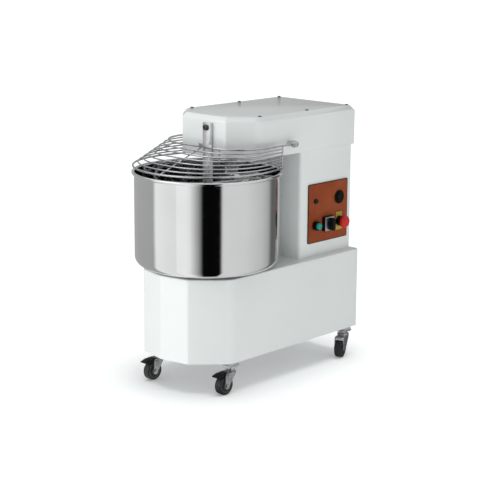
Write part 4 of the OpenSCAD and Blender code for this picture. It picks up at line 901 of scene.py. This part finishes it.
share = tree.nodes.new("ShaderNodeMapRange")
share.inputs["From Min"].default_value = -math.pi
share.inputs["From Max"].default_value = math.pi
bands = tree.nodes.new("ShaderNodeValToRGB")
tree.links.new(spot.outputs["Object"], split.inputs["Vector"])
tree.links.new(split.outputs["X"], angle.inputs[0])
tree.links.new(split.outputs["Y"], angle.inputs[1])
tree.links.new(angle.outputs["Value"], share.inputs["Value"])
tree.links.new(share.outputs["Result"], bands.inputs["Fac"])
tree.links.new(bands.outputs["Color"], glow.inputs["Color"])
tree.links.new(glow.outputs["Emission"], out.inputs["Surface"])
# each band has an angle, counted from the camera's side, and a grey level
BANDS = [
    (-178, 0.5), (-165, 0.45), (-86, 0.42), (-80, 0.97), (-55, 0.88), (-30, 1.0), (-24, 0.93),
    (-17, 0.6), (-10, 0.3), (-5, 0.002), (20, 0.002), (24, 0.76), (60, 0.74), (90, 0.6),
    (105, 0.45), (115, 0.13), (135, 0.13), (145, 0.35), (160, 0.42), (172, 0.5),
]
stops = sorted((((360 - CAMERA_SIDE - a) % 360) / 360, level) for a, level in BANDS)
while len(bands.color_ramp.elements) < len(stops):
    bands.color_ramp.elements.new(0.5)
for element, (place, level) in zip(bands.color_ramp.elements, stops):
    element.position = place
    element.color = (level, level, level, 1)
wall.data.materials.append(wall_bands)
wall.visible_camera = wall.visible_diffuse = wall.visible_shadow = wall.visible_transmission = False
wall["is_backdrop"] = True

world = bpy.data.worlds.new("studio")
bpy.context.scene.world = world
world.use_nodes = True
tree = world.node_tree
tree.nodes.clear()
out = tree.nodes.new("ShaderNodeOutputWorld")
seen = tree.nodes.new("ShaderNodeBackground")
light = tree.nodes.new("ShaderNodeBackground")
seen.inputs["Strength"].default_value = 1.0
seen.inputs["Color"].default_value = (1, 1, 1, 1)
light.inputs["Color"].default_value = (0.94, 1.0, 0.99, 1)
light.inputs["Strength"].default_value = 0.53
path = tree.nodes.new("ShaderNodeLightPath")
either = tree.nodes.new("ShaderNodeMath")
either.operation = "MAXIMUM"
third = tree.nodes.new("ShaderNodeMath")
third.operation = "MAXIMUM"
mix = tree.nodes.new("ShaderNodeMixShader")
tree.links.new(path.outputs["Is Camera Ray"], either.inputs[0])
tree.links.new(path.outputs["Is Glossy Ray"], either.inputs[1])
tree.links.new(either.outputs["Value"], third.inputs[0])
tree.links.new(path.outputs["Is Transmission Ray"], third.inputs[1])
tree.links.new(third.outputs["Value"], mix.inputs["Fac"])
tree.links.new(light.outputs["Background"], mix.inputs[1])
tree.links.new(seen.outputs["Background"], mix.inputs[2])
tree.links.new(mix.outputs["Shader"], out.inputs["Surface"])


def sun(name, energy, spread, toward, floor_only):
    """A soft sun that either lights the floor alone, or all but the floor."""
    deselect()
    bpy.ops.object.light_add(type="SUN")
    lamp = bpy.context.object
    lamp.name = name
    lamp.data.energy = energy
    lamp.data.angle = math.radians(spread)
    lamp.rotation_euler = Vector(toward).to_track_quat("Z", "Y").to_euler()
    lit = bpy.data.collections.new(name + "_lit")
    lit.objects.link(floor)
    lit.collection_objects[0].light_linking.link_state = "INCLUDE" if floor_only else "EXCLUDE"
    lamp.light_linking.receiver_collection = lit


sun("key_light", 1.28, 50, (-0.38, -0.84, 0.4), False)
sun("floor_light", 1.3, 38, (0.05, 0.0, 1), True)

camera_data = bpy.data.cameras.new("photo_view")
camera = bpy.data.objects.new("photo_view", camera_data)
bpy.context.scene.collection.objects.link(camera)
camera_data.sensor_width = 36
camera_data.lens = CAMERA_LENS
camera_data.shift_x, camera_data.shift_y = CAMERA_SHIFT
side, down, roll = (math.radians(a) for a in (CAMERA_SIDE, CAMERA_DOWN, CAMERA_ROLL))
ahead = Vector((-math.sin(side) * math.cos(down), math.cos(side) * math.cos(down), -math.sin(down)))
right = Vector((math.cos(side), math.sin(side), 0))
up = right.cross(ahead)
right, up = right * math.cos(roll) + up * math.sin(roll), up * math.cos(roll) - right * math.sin(roll)
turn = Matrix((right, up, -ahead)).transposed().to_4x4()
camera.matrix_world = Matrix.Translation(CAMERA_AT) @ turn
bpy.context.scene.camera = camera
bpy.context.scene.view_settings.view_transform = "Standard"

low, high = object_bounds()
